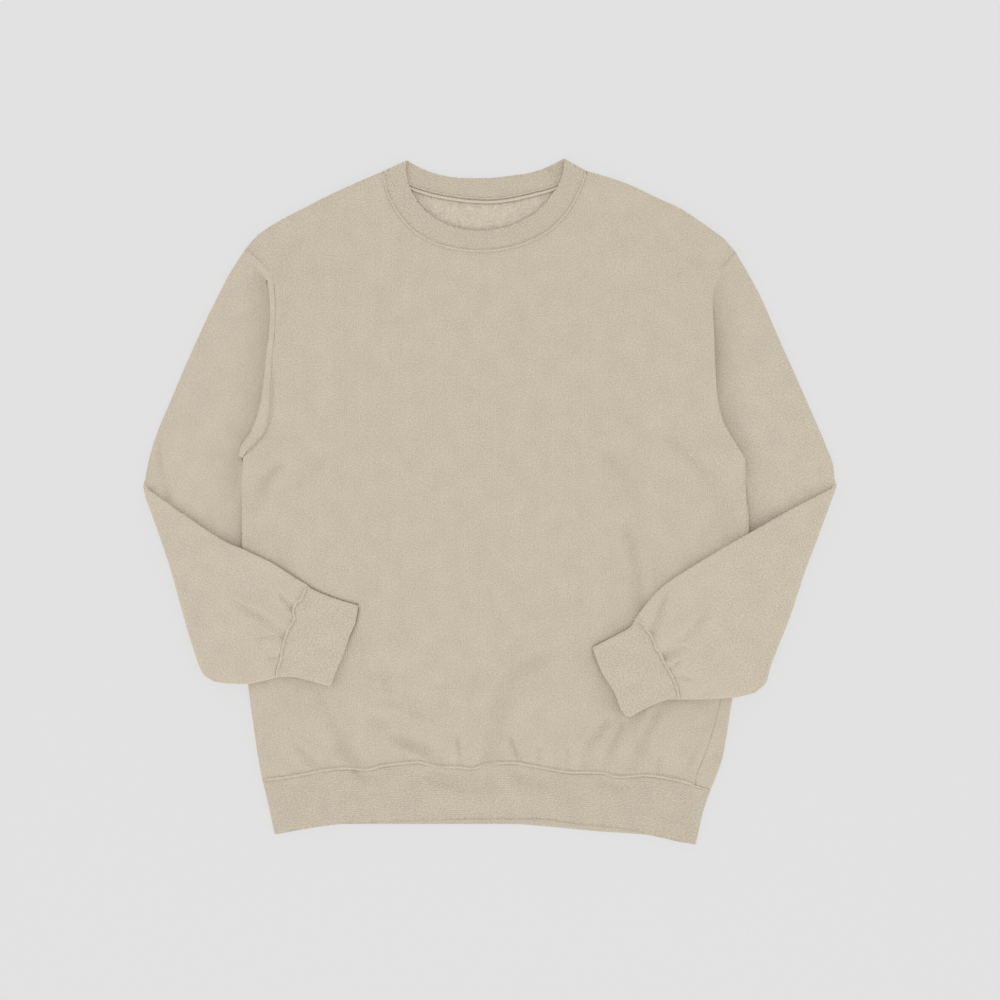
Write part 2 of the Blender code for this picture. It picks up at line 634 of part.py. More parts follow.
def tube_profile(width, half, wall, upper, under):
    """One turn round a flattened tube: distance across and height, outside and inside.

    upper and under are the places, from 0 to 1, where the two faces have points."""
    across = [[], []]
    heights = [[], []]
    for side, stations in ((1.0, upper), (-1.0, under)):
        for k, inset in enumerate((0.0, wall)):
            radius = half - inset
            near = inset + radius * (1.0 - np.cos(TUBE_ROUND))
            line = np.concatenate([near, np.array(stations) * width, width - near[::-1]])
            turn = np.sin(TUBE_ROUND)
            high = np.concatenate([turn, np.ones(len(stations)), turn[::-1]]) * radius
            if side < 0:
                line = line[::-1]
                high = high[::-1]
            across[k] += list(line[:-1])
            heights[k] += list(side * high[:-1])
    return np.array(across), np.array(heights)


def cross_normals(grid, sign):
    along = np.gradient(grid, axis=0, edge_order=2)
    across = np.gradient(grid, axis=1, edge_order=2)
    return unit(np.cross(along, across)) * sign


def pleat_rows(side, w):
    """Rows of the arm's middle from its armhole seam, over the fold, under and out again."""
    line = armhole_line(side, w)
    angle = np.radians(line["turn"])
    drop = pleat_drop(line["turn"], line["tuck"])
    base = np.stack([line["x"], line["y"]], axis=-1)
    out = unit(np.stack([line["out_x"], line["out_y"]], axis=-1))
    spare = PLEAT_STEP * (1.0 - line["turn"] / 180.0)
    steps = []
    first = 0
    if side == "left":
        steps.append((0.0 * angle, 0.0 * angle))
        steps.append((line["lead"] * 0.5, 0.0 * angle))
    else:
        first = ARC_STEPS // 2
    start = angle * first / ARC_STEPS + (4.0 * SEAM_GAP / FOLD_RADIUS if first else 0.0)
    for k in range(first, ARC_STEPS + 1):
        turned = start + (angle - start) * (k - first) / (ARC_STEPS - first)
        steps.append((line["lead"] + FOLD_RADIUS * np.sin(turned), -FOLD_RADIUS * (1.0 - np.cos(turned))))
    there = line["lead"] + FOLD_RADIUS * np.sin(angle) + line["tuck"] * np.cos(angle)
    down = -FOLD_RADIUS * (1.0 - np.cos(angle)) - line["tuck"] * np.sin(angle)
    for k in range(ARC_STEPS + 1):
        turned = angle * (1.0 - k / ARC_STEPS)
        across = FOLD_RADIUS * (np.sin(angle) - np.sin(turned))
        fallen = -FOLD_RADIUS * (np.cos(turned) - np.cos(angle))
        steps.append((there + across, down + fallen))
    rows = []
    for k, (dx, dz) in enumerate(steps):
        xy = base + out * (dx + SEAM_GAP + spare * k)[..., None]
        z = drop + FLAT_SLEEVE / 2.0 + dz + BODY_CLEAR * (1.0 - k / (len(steps) - 1))
        rows.append(np.concatenate([xy, z[..., None]], axis=-1))
    return rows


def forearm_floor(side, xy):
    """What a folded forearm rests on: its own upper arm, then the body's front."""
    x = xy[..., 0]
    y = xy[..., 1]
    out = -inset_from(side, x, y)
    climb = 1.0 - smooth((out - 2.0) / ELBOW_REACH)
    low = 2.0 * FOLD_RADIUS
    at_edge = np.interp(y, EDGES[side]["y"], EDGES[side]["x"])
    inside = np.where(out > 0, at_edge, x)
    body = front_top(np.stack([inside, y], axis=-1), False) + CUFF_LIFT
    return low + (body - low) * climb


def four_sided(start, end, rail_start, rail_end, w, share):
    """Points between two rows that also keep to the two rails joining their ends."""
    q = np.full(w.shape, share)
    wide = w[..., None]
    ends = np.array([0.0, 1.0])
    a = rail_start(ends)
    b = rail_end(ends)
    xy = (1 - share) * start + share * end
    xy = xy + (1 - wide) * (rail_start(q) - (1 - share) * a[0] - share * a[1])
    return xy + wide * (rail_end(q) - (1 - share) * b[0] - share * b[1])


def sleeve_middle(side, arm, w):
    """The middle surface of an arm, row by row, with half the height and the puff of each row."""
    pleat = pleat_rows(side, w)
    tips = pleat_rows(side, np.array([0.0, 1.0]))[-1][..., :2]
    fold = curve(arm["fold"])
    direction = unit(arm["fold"][-1] - arm["fold"][0])
    inward = np.array([-direction[1], direction[0]])
    if inward[0] * arm["fold"][0][0] > 0:
        inward = -inward
    elbow = fold(w) + inward * ROLL_RADIUS
    elbow_ends = fold(np.array([0.0, 1.0])) + inward * ROLL_RADIUS
    rail_outer = curve(np.concatenate([[tips[0]], arm["outer"], [elbow_ends[0]]]))
    rail_under = curve(np.concatenate([[tips[1]], arm["underarm"], [elbow_ends[1]]]))
    rows = list(pleat)
    halves = [FLAT_SLEEVE / 2.0] * len(rows)
    puffs = [0.0] * len(rows)
    for k in range(1, UPPER_ROWS):
        xy = four_sided(pleat[-1][..., :2], elbow, rail_outer, rail_under, w, k / UPPER_ROWS)
        rows.append(np.concatenate([xy, np.full(w.shape + (1,), FLAT_SLEEVE / 2.0)], axis=-1))
        halves.append(FLAT_SLEEVE / 2.0)
        puffs.append(SLEEVE_PUFF * math.sin(math.pi * min(1.0, k / (0.8 * UPPER_ROWS))))
    for k in range(ELBOW_STEPS + 1):
        turned = math.pi * k / ELBOW_STEPS
        xy = elbow - inward * FOLD_RADIUS * math.sin(turned)
        z = FLAT_SLEEVE / 2.0 + FOLD_RADIUS * (1.0 - math.cos(turned))
        rows.append(np.concatenate([xy, np.full(w.shape + (1,), z)], axis=-1))
        halves.append(FLAT_SLEEVE / 2.0)
        puffs.append(0.0)
    seam = curve(arm["cuff_seam"])
    seam_ends = seam(np.array([0.0, 1.0]))
    rail_top = curve(np.concatenate([[elbow_ends[0]], arm["forearm_top"], [seam_ends[0]]]))
    rail_bottom = curve(np.concatenate([[elbow_ends[1]], arm["forearm_bottom"], [seam_ends[1]]]))
    for k in range(1, FORE_ROWS + 1):
        share = k / FORE_ROWS - (SEAM_GAP / FOREARM_LENGTH if k == FORE_ROWS else 0.0)
        xy = four_sided(elbow, seam(w), rail_top, rail_bottom, w, share)
        half = (FLAT_SLEEVE + (RIB_TUBE - FLAT_SLEEVE) * float(smooth(np.array(share)))) / 2.0
        z = forearm_floor(side, xy) + half
        rows.append(np.concatenate([xy, z[..., None]], axis=-1))
        halves.append(half)
        puffs.append(0.0)
    return np.stack(rows), halves, puffs


def build_sleeve(side, arm):
    """A sleeve: a tube pressed flat, pleated at the armhole and folded back at the elbow."""
    sign = 1.0 if side == "left" else -1.0
    fine = np.linspace(0.0, 1.0, 121)
    middle, halves, puffs = sleeve_middle(side, arm, fine)
    widths = np.linalg.norm(np.diff(middle, axis=1), axis=-1).sum(axis=1)
    normals = cross_normals(middle, sign)
    faces = [[], []]
    first_forearm = len(halves) - FORE_ROWS
    for i, (half, width, puff) in enumerate(zip(halves, widths, puffs)):
        across, heights = tube_profile(width, half, WALL, ARM_STATIONS, ARM_STATIONS)
        for k in range(2):
            w = across[k] / width
            point = np.stack([np.interp(w, fine, middle[i, :, c]) for c in range(3)], axis=-1)
            normal = unit(np.stack([np.interp(w, fine, normals[i, :, c]) for c in range(3)], axis=-1))
            swell = puff * np.sin(np.pi * w) * np.cos(np.clip(w / 0.75, 0.0, 1.0) * np.pi / 2)
            point[:, 2] += swell
            if i >= first_forearm:
                level = float(smooth(np.array((i - first_forearm + 1) / 3.0)))
                normal = unit(normal * (1.0 - level) + np.array([0.0, 0.0, -1.0]) * level)
            placed = point + normal * (heights[k] + np.sign(heights[k]) * swell)[:, None]
            if i >= first_forearm:
                crease = fold_depth(placed[:, :2], SLEEVE_FOLDS)
                placed[:, 2] -= crease * np.clip(-heights[k] / half, 0.0, 1.0)
            faces[k].append(placed)
    outer = moved(np.stack(faces[0]))
    inner = moved(np.stack(faces[1]))
    keep = np.ones(outer.shape[:2], bool)
    return add_piece("sleeve_" + side, outer, inner, keep, True, "fleece")


def tube_lines(seam, edge, side_a, side_b):
    """Lines from a tube's seam to its edge that keep to its two sides."""
    one = curve(seam)
    two = curve(edge)
    rail_a = curve(side_a)
    rail_b = curve(side_b)

    def line(share):
        def at(t):
            return four_sided(one(t), two(t), rail_a, rail_b, t, share)

        return at

    return line


def build_rib_tube(name, upper_line, under_line, stations, floor, top):
    """A doubled rib tube lying flat, from its seam to its folded edge."""
    half = RIB_TUBE / 2.0
    faces = [[], []]
    for k in range(RIB_ROWS + 1):
        share = k / RIB_ROWS
        upper = upper_line(share)
        under = under_line(share)
        width = np.linalg.norm(np.diff(upper(np.linspace(0, 1, 60)), axis=0), axis=1).sum()
        across, heights = tube_profile(width, half, RIB_WALL, stations[0], stations[1])
        for level in range(2):
            inset = RIB_WALL * level
            w = across[level] / width
            which = np.clip(0.5 + 0.5 * np.sign(heights[level]), 0.0, 1.0)[:, None]
            xy = upper(w) * which + under(w) * (1.0 - which)
            low = floor(xy)
            high = top(xy)
            rise = heights[level] / (half - inset)
            z = (low + high) / 2.0 + rise * ((high - low) / 2.0 - inset)
            faces[level].append(np.concatenate([xy, z[:, None]], axis=-1))
    outer = np.stack(faces[0])
    inner = np.stack(faces[1])
    keep = np.ones(outer.shape[:2], bool)
    return add_piece(name, moved(outer), moved(inner), keep, True, "rib")


def build_hem():
    shift = np.array([0.0, -SEAM_GAP])
    upper = tube_lines(HEM_SEAM + shift, HEM_EDGE_FRONT, HEM_LEFT + shift, HEM_RIGHT + shift)
    under = tube_lines(HEM_SEAM_UNDER + shift, HEM_EDGE_BACK, HEM_LEFT + shift, HEM_RIGHT + shift)
    columns = panel_columns()[4:-4]
    front = [u * HEM_END for u in columns] + [HEM_END]
    back = list(columns[::-1])

    def floor(xy):
        return np.zeros(xy.shape[:-1])

    def top(xy):
        return thickness(xy[..., 0], xy[..., 1])

    return build_rib_tube("hem_rib", upper, under, (front, sorted(back)), floor, top)


def build_cuff(side, arm):
    shift = unit(arm["cuff_end"].mean(axis=0) - arm["cuff_seam"].mean(axis=0)) * SEAM_GAP
    seam = arm["cuff_seam"] + shift
    line = tube_lines(seam, arm["cuff_end"], arm["cuff_top"] + shift, arm["cuff_bottom"] + shift)

    def floor(xy):
        return forearm_floor(side, xy)

    def top(xy):
        return forearm_floor(side, xy) + RIB_TUBE

    return build_rib_tube("cuff_" + side, line, line, (ARM_STATIONS, ARM_STATIONS), floor, top)


def build_collar():
    """The collar: a doubled band, its front half over its back half, folded at both shoulders."""
    half = RIB_TUBE / 2.0
    columns = panel_columns()
    margin = NECK_TURN + 1e-6
    inside_neck = columns[(columns > NECK_START + margin) & (columns < NECK_END - margin)]
    stations = (inside_neck - NECK_START) / (NECK_END - NECK_START)
    halves = ((1.0, NECK_FRONT, COLLAR_EDGE_FRONT), (-1.0, NECK_BACK, COLLAR_EDGE_BACK))
    faces = [[], []]
    for k in range(RIB_ROWS + 1):
        share = k / RIB_ROWS
        for level in range(2):
            inset = RIB_WALL * level
            points = []
            for side, seam, edge in halves:
                one = curve(seam)
                two = curve(edge)
                length = np.linalg.norm(np.diff(seam, axis=0), axis=1).sum()
                near = (inset + (half - inset) * (1.0 - np.cos(TUBE_ROUND))) / length
                t = np.concatenate([near, stations, 1.0 - near[::-1]])
                turn = np.sin(TUBE_ROUND)
                rise = np.concatenate([turn, np.ones(len(stations)), turn[::-1]])
                across = unit(two(t) - one(t))
                xy = one(t) * (1.0 - share) + two(t) * share
                xy = xy + across * 3.0 * SEAM_GAP * (1.0 - share)
                if side > 0:
                    top = front_top(xy, False) * (1.0 - share) + RIB_TUBE * share
                    z = half + (top - half - inset) * rise
                else:
                    z = half - (half - inset) * rise
                point = np.concatenate([xy, z[:, None]], axis=-1)
                points.append(point[:-1] if side > 0 else point[::-1][:-1])
            faces[level].append(np.concatenate(points))
    outer = np.stack(faces[0])
    inner = np.stack(faces[1])
    keep = np.ones(outer.shape[:2], bool)
    return add_piece("collar", moved(outer), moved(inner), keep, True, "rib")


def main():
    for obj in list(bpy.data.objects):
        bpy.data.objects.remove(obj, do_unlink=True)
    build_front()
    build_back()
    build_sleeve("left", ARM_LEFT)
    build_sleeve("right", ARM_RIGHT)
    build_collar()
    build_cuff("left", ARM_LEFT)
    build_cuff("right", ARM_RIGHT)
    build_hem()


main()
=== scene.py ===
import math

import bpy
import numpy as np
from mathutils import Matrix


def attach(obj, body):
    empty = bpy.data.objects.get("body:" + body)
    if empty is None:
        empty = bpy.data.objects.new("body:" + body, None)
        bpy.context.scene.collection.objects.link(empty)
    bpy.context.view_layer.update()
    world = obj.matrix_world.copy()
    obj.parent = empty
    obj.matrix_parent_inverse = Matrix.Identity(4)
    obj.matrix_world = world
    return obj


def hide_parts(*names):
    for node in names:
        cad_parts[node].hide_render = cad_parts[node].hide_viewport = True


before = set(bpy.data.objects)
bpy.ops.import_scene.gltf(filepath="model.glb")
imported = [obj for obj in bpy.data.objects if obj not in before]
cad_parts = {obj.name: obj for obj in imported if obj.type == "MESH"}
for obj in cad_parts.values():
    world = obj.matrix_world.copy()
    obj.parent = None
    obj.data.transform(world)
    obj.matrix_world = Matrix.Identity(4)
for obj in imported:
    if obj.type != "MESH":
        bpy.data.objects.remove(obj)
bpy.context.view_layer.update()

# A crewneck sweatshirt laid flat on its back, arms folded over at the elbow.
# Lengths are in millimetres and become metres in makePiece. X is to the right seen from above,
# Y runs from hem to neck, Z is up from the floor.


def table(names, rows):
    return {name: np.array(column, float) for name, column in zip(names.split(), zip(*rows))}


def path(*points):
    return np.array(points, float)


def foldRow(width, depth, *points, **more):
    # one crease: its width and depth in mm, the points it runs through and how it starts and ends
    return {"along": path(*points), "width": width, "depth": depth, **more}


cloth = {
    "fleeceWall": 2.2,
    "ribWall": 3.4,         # rib folded double
    "flatSleeve": 4.8,      # a sleeve pressed flat
    "ribTube": 7.4,         # a doubled rib tube pressed flat
    "bodyLoft": 9.0,        # height of the body in the middle
    "foldRadius": 2.75,
    "edgeRadius": 2.8,
    "seamGap": 0.05,
    "cuffLift": 1.5,
    "bodyClear": 0.3,
    "elbowReach": 46.0,
    "centreShift": (0.77, 0.0),
}
rollRadius = cloth["foldRadius"] + cloth["flatSleeve"] / 2

# the outline, x and y
sideLeft = path(
    (-255, -311), (-260, -283), (-265, -249), (-270, -209), (-274, -144), (-277.5, -53),
    (-277.5, 2), (-277, 25), (-275.4, 49.5))
sideSeam = path(
    (229, -317), (231, -306), (240, -283), (246, -266), (252, -246), (258, -222), (268, -178),
    (280, -110), (286.5, -33), (286.8, -10), (286.4, 2), (285.8, 14), (285.1, 47))
sideRight = path(
    (247, -322), (256, -300), (260, -288), (264, -267), (271, -222), (278, -178), (286, -110),
    (289.8, -34), (289.4, -18), (288.6, -4), (286.9, 8), (285.7, 18), (285, 47))
sideRightUnder = path(
    (247, -322), (256, -300), (260, -288), (264, -267), (271, -222), (278, -178), (286, -110),
    (289.8, -34), (289.4, -18), (288.4, -6), (286.2, 4), (282.5, 16), (280, 47))
shoulderLeft = path(
    (-274, 283), (-260, 298), (-236, 314), (-210, 327.5), (-184, 341), (-155, 354.5), (-132, 364.5),
    (-119, 370))
shoulderRight = path(
    (108, 370), (121, 366.5), (155, 355), (185, 341), (213, 328), (234, 314.5), (252, 301.5),
    (262, 294), (275, 281))
neckFront = path(
    (-119, 370), (-119.3, 359), (-116.6, 348), (-112, 337), (-105.8, 325.7), (-97.9, 314.6),
    (-87, 303.4), (-72, 293), (-56.8, 286.6), (-34.4, 281.5), (-12, 279.6), (10.4, 281.2),
    (32.8, 286), (54, 295), (68, 303.4), (79.9, 314.6), (88.8, 325.7), (95.6, 336.9), (100.6, 348.1),
    (105.4, 359.3), (108, 370))
neckBack = path(
    (-119, 370), (-101, 358), (-82, 350), (-56, 343), (-21, 338), (0, 337), (20, 339), (39, 343),
    (55, 347), (71, 351), (90, 360), (108, 370))
collarEdgeFront = path(
    (-93, 382), (-95, 374), (-94, 362), (-89.3, 351), (-84, 339), (-76.5, 329), (-66, 319.5),
    (-54, 312), (-41.5, 307.5), (-29, 304.5), (-13, 302.8), (0, 303.5), (21, 308), (38, 315),
    (52, 323.5), (63.5, 335), (71.8, 347), (79.8, 359), (83, 370), (83, 384))
collarEdgeBack = path(
    (-93, 382), (-80, 374), (-64, 368), (-45, 363), (-21, 362), (0, 362), (24, 365), (47, 368),
    (63, 374), (75, 380), (83, 384))
hemSeam = path(
    (-255, -311), (-240, -310), (-226, -308), (-209, -305), (-183, -300), (-162, -298), (-140, -300),
    (-119, -295), (-102, -293), (-82, -291), (-59, -296), (-34, -297), (-21, -299), (-3, -293),
    (26, -292), (50, -296), (98, -303), (123, -303), (144, -308), (174, -306), (208, -311),
    (220, -314), (229, -317), (247, -322))
hemSeamUnder = path(
    (-255, -311), (-180, -304), (-90, -299), (0, -297), (110, -303), (190, -311), (247, -322))
hemEdgeFront = path(
    (-241, -371), (-209, -366), (-162, -360), (-82, -356), (9, -354), (49, -354), (93, -359),
    (150, -365), (183, -372), (212, -380), (230, -384))
hemEdgeBack = path(
    (-241, -373), (-209, -367), (-183, -363), (-162, -361), (-101, -361), (22, -361), (67, -364),
    (119, -369), (174, -373), (212, -381), (230, -384))
hemLeft = path((-255, -311), (-253, -318), (-248, -340), (-241, -372))
hemRight = path((247, -322), (238, -349), (234, -367), (230, -384))

neckSoftness = 9.0      # how evenly the neckline runs
forearmLength = 150.0   # along the folded arm, to share its rows out
seamShows = {"left": 138.0, "right": 47.0}      # below these heights the armhole seam is in sight
hiddenSeam = (145.0, 262.0)     # the stretch of the left armhole seam that lies in the pleat

# the pleat where each arm turns down at its armhole, from shoulder tip to armpit
armholeLeft = table("w x y lead turn tuck outX outY", [
    (0.00, -274, 282, 0.3, 0, 0.5, -0.55, -0.84),
    (0.08, -259.5, 271.5, 0.8, 45, 0.5, -0.72, -0.69),
    (0.15, -247.3, 259, 0.8, 85, 0.8, -0.97, -0.24),
    (0.22, -240.6, 242, 0.9, 140, 2.0, -1.00, 0.00),
    (0.32, -239.4, 215, 0.9, 165, 3.5, -1.00, 0.00),
    (0.42, -240.2, 186, 1.2, 170, 5.0, -1.00, 0.00),
    (0.50, -242.8, 163, 2.0, 172, 7.0, -1.00, 0.00),
    (0.65, -243.6, 125, 5.0, 176, 10.0, -1.00, 0.00),
    (0.78, -245.2, 95, 10.0, 180, 13.0, -1.00, 0.00),
    (0.87, -250.5, 77, 12.0, 180, 13.0, -1.00, 0.00),
    (0.94, -264.5, 60.5, 9.2, 180, 13.0, -1.00, 0.00),
    (0.97, -270.5, 54.5, 2.4, 180, 13.0, -1.00, 0.00),
    (1.00, -275.4, 49.5, 0.3, 180, 13.0, -1.00, 0.00)])
armholeRight = table("w x y lead turn tuck outX outY", [
    (0.00, 275, 279, 0.0, 0, 0.5, 0.48, -0.88),
    (0.08, 263, 267, 0.0, 35, 0.5, 0.75, -0.66),
    (0.15, 250, 257, 0.0, 70, 0.5, 0.95, -0.31),
    (0.25, 243, 232, 0.0, 105, 1.0, 1.00, 0.00),
    (0.42, 245, 186, 0.0, 140, 3.0, 1.00, 0.00),
    (0.65, 248, 125, 0.0, 172, 9.0, 1.00, 0.00),
    (0.78, 254, 94, 0.0, 180, 12.0, 1.00, 0.00),
    (0.87, 262, 77, 0.0, 180, 13.0, 1.00, 0.00),
    (0.94, 272, 61, 0.0, 180, 13.0, 1.00, 0.00),
    (1.00, 280, 47, 0.0, 180, 13.0, 1.00, 0.00)])
# how the body lies over each tucked arm below the armpit
overArm = table("y height hold fall", [
    (-236, 0.0, 8, 50), (-188, 5.8, 26, 56), (-150, 5.8, 48, 60), (-110, 5.8, 66, 62),
    (-60, 5.8, 68, 62), (-10, 6.0, 58, 66), (25, 9.4, 40, 74), (47, 11.3, 28, 80)])
edgeHeight = table("y height", [
    (-320, 7.4), (-285, 7.2), (-230, 6.2), (-150, 5.2), (47, 4.8), (300, 4.8)])
shoulderHeight = table("x height", [
    (-272, 4.8), (-200, 5.8), (-119, 7.4), (105, 7.4), (190, 5.8), (276, 4.8)])


# small tools
def smooth(t):
    t = np.clip(t, 0.0, 1.0)
    return t * t * (3.0 - 2.0 * t)


def eased(x, xs, ys):
    # a table's values between its rows, without overshoot
    xs = np.asarray(xs, float)
    ys = np.asarray(ys, float)
    step = np.diff(xs)
    slope = np.diff(ys) / step
    tangent = np.zeros_like(ys)
    same = slope[:-1] * slope[1:] > 0
    total = np.where(same, slope[:-1] + slope[1:], 1.0)
    tangent[1:-1] = np.where(same, 2.0 * slope[:-1] * slope[1:] / total, 0.0)
    x = np.clip(x, xs[0], xs[-1])
    i = np.clip(np.searchsorted(xs, x, side="right") - 1, 0, len(step) - 1)
    t = (x - xs[i]) / step[i]
    near = (1.0 + 2.0 * t) * (1.0 - t) ** 2 * ys[i] + t * (1.0 - t) ** 2 * step[i] * tangent[i]
    far = t * t * (3.0 - 2.0 * t) * ys[i + 1] + t * t * (t - 1.0) * step[i] * tangent[i + 1]
    return near + far


def lengthsOf(points):
    return np.concatenate([[0.0], np.cumsum(np.linalg.norm(np.diff(points, axis=0), axis=1))])


def curve(points, soft=2.0):
    # points at given shares of a smooth line's length; soft evens it out over that many millimetres
    points = np.asarray(points, float)
    reach = lengthsOf(points)
    count = max(9, int(reach[-1] / 1.0))
    s = np.linspace(0.0, reach[-1], count)
    line = np.stack([eased(s, reach, points[:, 0]), eased(s, reach, points[:, 1])], axis=-1)
    pad = min(count - 1, int(3 * soft) + 1)
    before = 2 * line[0] - line[pad:0:-1]
    after = 2 * line[-1] - line[-2:-pad - 2:-1]
    padded = np.concatenate([before, line, after])
    kernel = np.exp(-0.5 * (np.arange(-pad, pad + 1) / (soft * count / reach[-1])) ** 2)
    kernel /= kernel.sum()
    line = np.stack([np.convolve(padded[:, c], kernel, "valid") for c in range(2)], axis=-1)
    shares = lengthsOf(line)
    shares /= shares[-1]

    def at(t):
        return np.stack([np.interp(t, shares, line[:, 0]), np.interp(t, shares, line[:, 1])], axis=-1)

    return at


def unit(v):
    return v / np.maximum(np.linalg.norm(v, axis=-1, keepdims=True), 1e-9)


def bump(d, width):
    return np.exp(-((d / width) ** 2))


def distanceTo(xy, along):
    # distance from a line, signed by the side of it, and the share of the way along
    best = np.full(xy.shape[:-1], 1e9)
    signed = np.zeros(xy.shape[:-1])
    share = np.zeros(xy.shape[:-1])
    for k, (a, b) in enumerate(zip(along[:-1], along[1:])):
        way = b - a
        t = np.clip(((xy - a) @ way) / np.dot(way, way), 0.0, 1.0)
        off = xy - (a + t[..., None] * way)
        d = np.linalg.norm(off, axis=-1)
        side = np.sign(way[0] * off[..., 1] - way[1] * off[..., 0])
        share = np.where(d < best, (k + t) / (len(along) - 1), share)
        signed = np.where(d < best, d * side, signed)
        best = np.minimum(best, d)
    return signed, share


def creased(xy, folds):
    # height taken off and put on by soft folds: a trough, steeper on one side, between two low swells
    height = np.zeros(xy.shape[:-1])
    for fold in folds:
        line = curve(fold["along"])(np.linspace(0, 1, 3 * len(fold["along"])))
        d, share = distanceTo(xy, line)
        width = fold["width"] * (0.6 + 0.25 * share) * (1.0 + fold.get("skew", 0.0) * np.tanh(d / 3.0))
        ends = smooth(share / fold.get("start", 0.3)) * smooth((1.0 - share) / fold.get("fade", 0.35))
        ends = np.maximum(ends, fold.get("open", 0.0) * smooth(share / 0.3))
        height -= fold["depth"] * ends * bump(d, width)
        height += fold.get("swell", 0.2) * fold["depth"] * ends * bump(np.abs(d) - 2.0 * width, 1.3 * width)
    return height


def waves(u, v, size, seed):
    # a soft uneven surface: random heights on a lattice, smoothed between, from about -1 to 1
    rng = np.random.default_rng(seed)
    lattice = rng.uniform(-1.0, 1.0, (64, 64))
    a = np.asarray(u, float) / size
    b = np.asarray(v, float) / size
    i = np.floor(a).astype(int)
    j = np.floor(b).astype(int)
    s = smooth(a - i)
    t = smooth(b - j)
    i0, i1, j0, j1 = i % 64, (i + 1) % 64, j % 64, (j + 1) % 64
    low = lattice[i0, j0] * (1 - s) + lattice[i1, j0] * s
    high = lattice[i0, j1] * (1 - s) + lattice[i1, j1] * s
    return low * (1 - t) + high * t


# how high the body lies
def pleatDrop(turn, tuck):
    angle = np.radians(turn)
    return 2.0 * cloth["foldRadius"] * (1.0 - np.cos(angle)) + tuck * np.sin(angle)


def armholeLine(side, w):
    armhole = armholeLeft if side == "left" else armholeRight
    return {name: eased(w, armhole["w"], column) for name, column in armhole.items()}


def edgeLine(side):
    border = sideLeft if side == "left" else sideRight
    line = armholeLine(side, np.linspace(1.0, 0.0, 161))
    ys = np.concatenate([border[:-1, 1], line["y"]])
    xs = np.concatenate([border[:-1, 0], line["x"]])
    return {"y": ys, "x": xs, "armY": line["y"], "drop": pleatDrop(line["turn"], line["tuck"])}


edges = {side: edgeLine(side) for side in ("left", "right")}


def insetFrom(side, x, y):
    edge = np.interp(y, edges[side]["y"], edges[side]["x"])
    return x - edge if side == "left" else edge - x


def lift(x, y):
    # height of the body's underside over the arms that are tucked beneath it
    total = np.zeros_like(x)
    above = y > 47
    armholeHold = 20.0 + 6.0 * smooth((100 - y) / 53)
    for side in ("left", "right"):
        drop = np.interp(y, edges[side]["armY"], edges[side]["drop"])
        height = np.where(above, drop + cloth["bodyClear"], eased(y, overArm["y"], overArm["height"]))
        hold = np.where(above, armholeHold, eased(y, overArm["y"], overArm["hold"]))
        fall = np.where(above, 80.0, eased(y, overArm["y"], overArm["fall"]))
        total = total + height * (1.0 - smooth((insetFrom(side, x, y) - hold) / fall))
    return total


def thickness(x, y):
    # the body's height from underside to top face
    side = eased(y, edgeHeight["y"], edgeHeight["height"])
    shoulder = eased(x, shoulderHeight["x"], shoulderHeight["height"])
    border = side + (shoulder - side) * smooth((y - 200) / 90)
    inset = np.minimum(insetFrom("left", x, y), insetFrom("right", x, y))
    line = np.concatenate([shoulderLeft, shoulderRight])
    below = np.interp(x, line[:, 0], line[:, 1]) - y
    fill = smooth(inset / 95) * smooth((below + 2.2) / 80) * smooth((y + 330) / 90)
    return border + (cloth["bodyLoft"] - border) * fill


def bodyTop(xy):
    return lift(xy[..., 0], xy[..., 1]) + thickness(xy[..., 0], xy[..., 1])


# meshes from grids of points
def coarseSteps(count, every):
    steps = list(range(0, count, every))
    if steps[-1] != count - 1:
        steps.append(count - 1)
    return steps


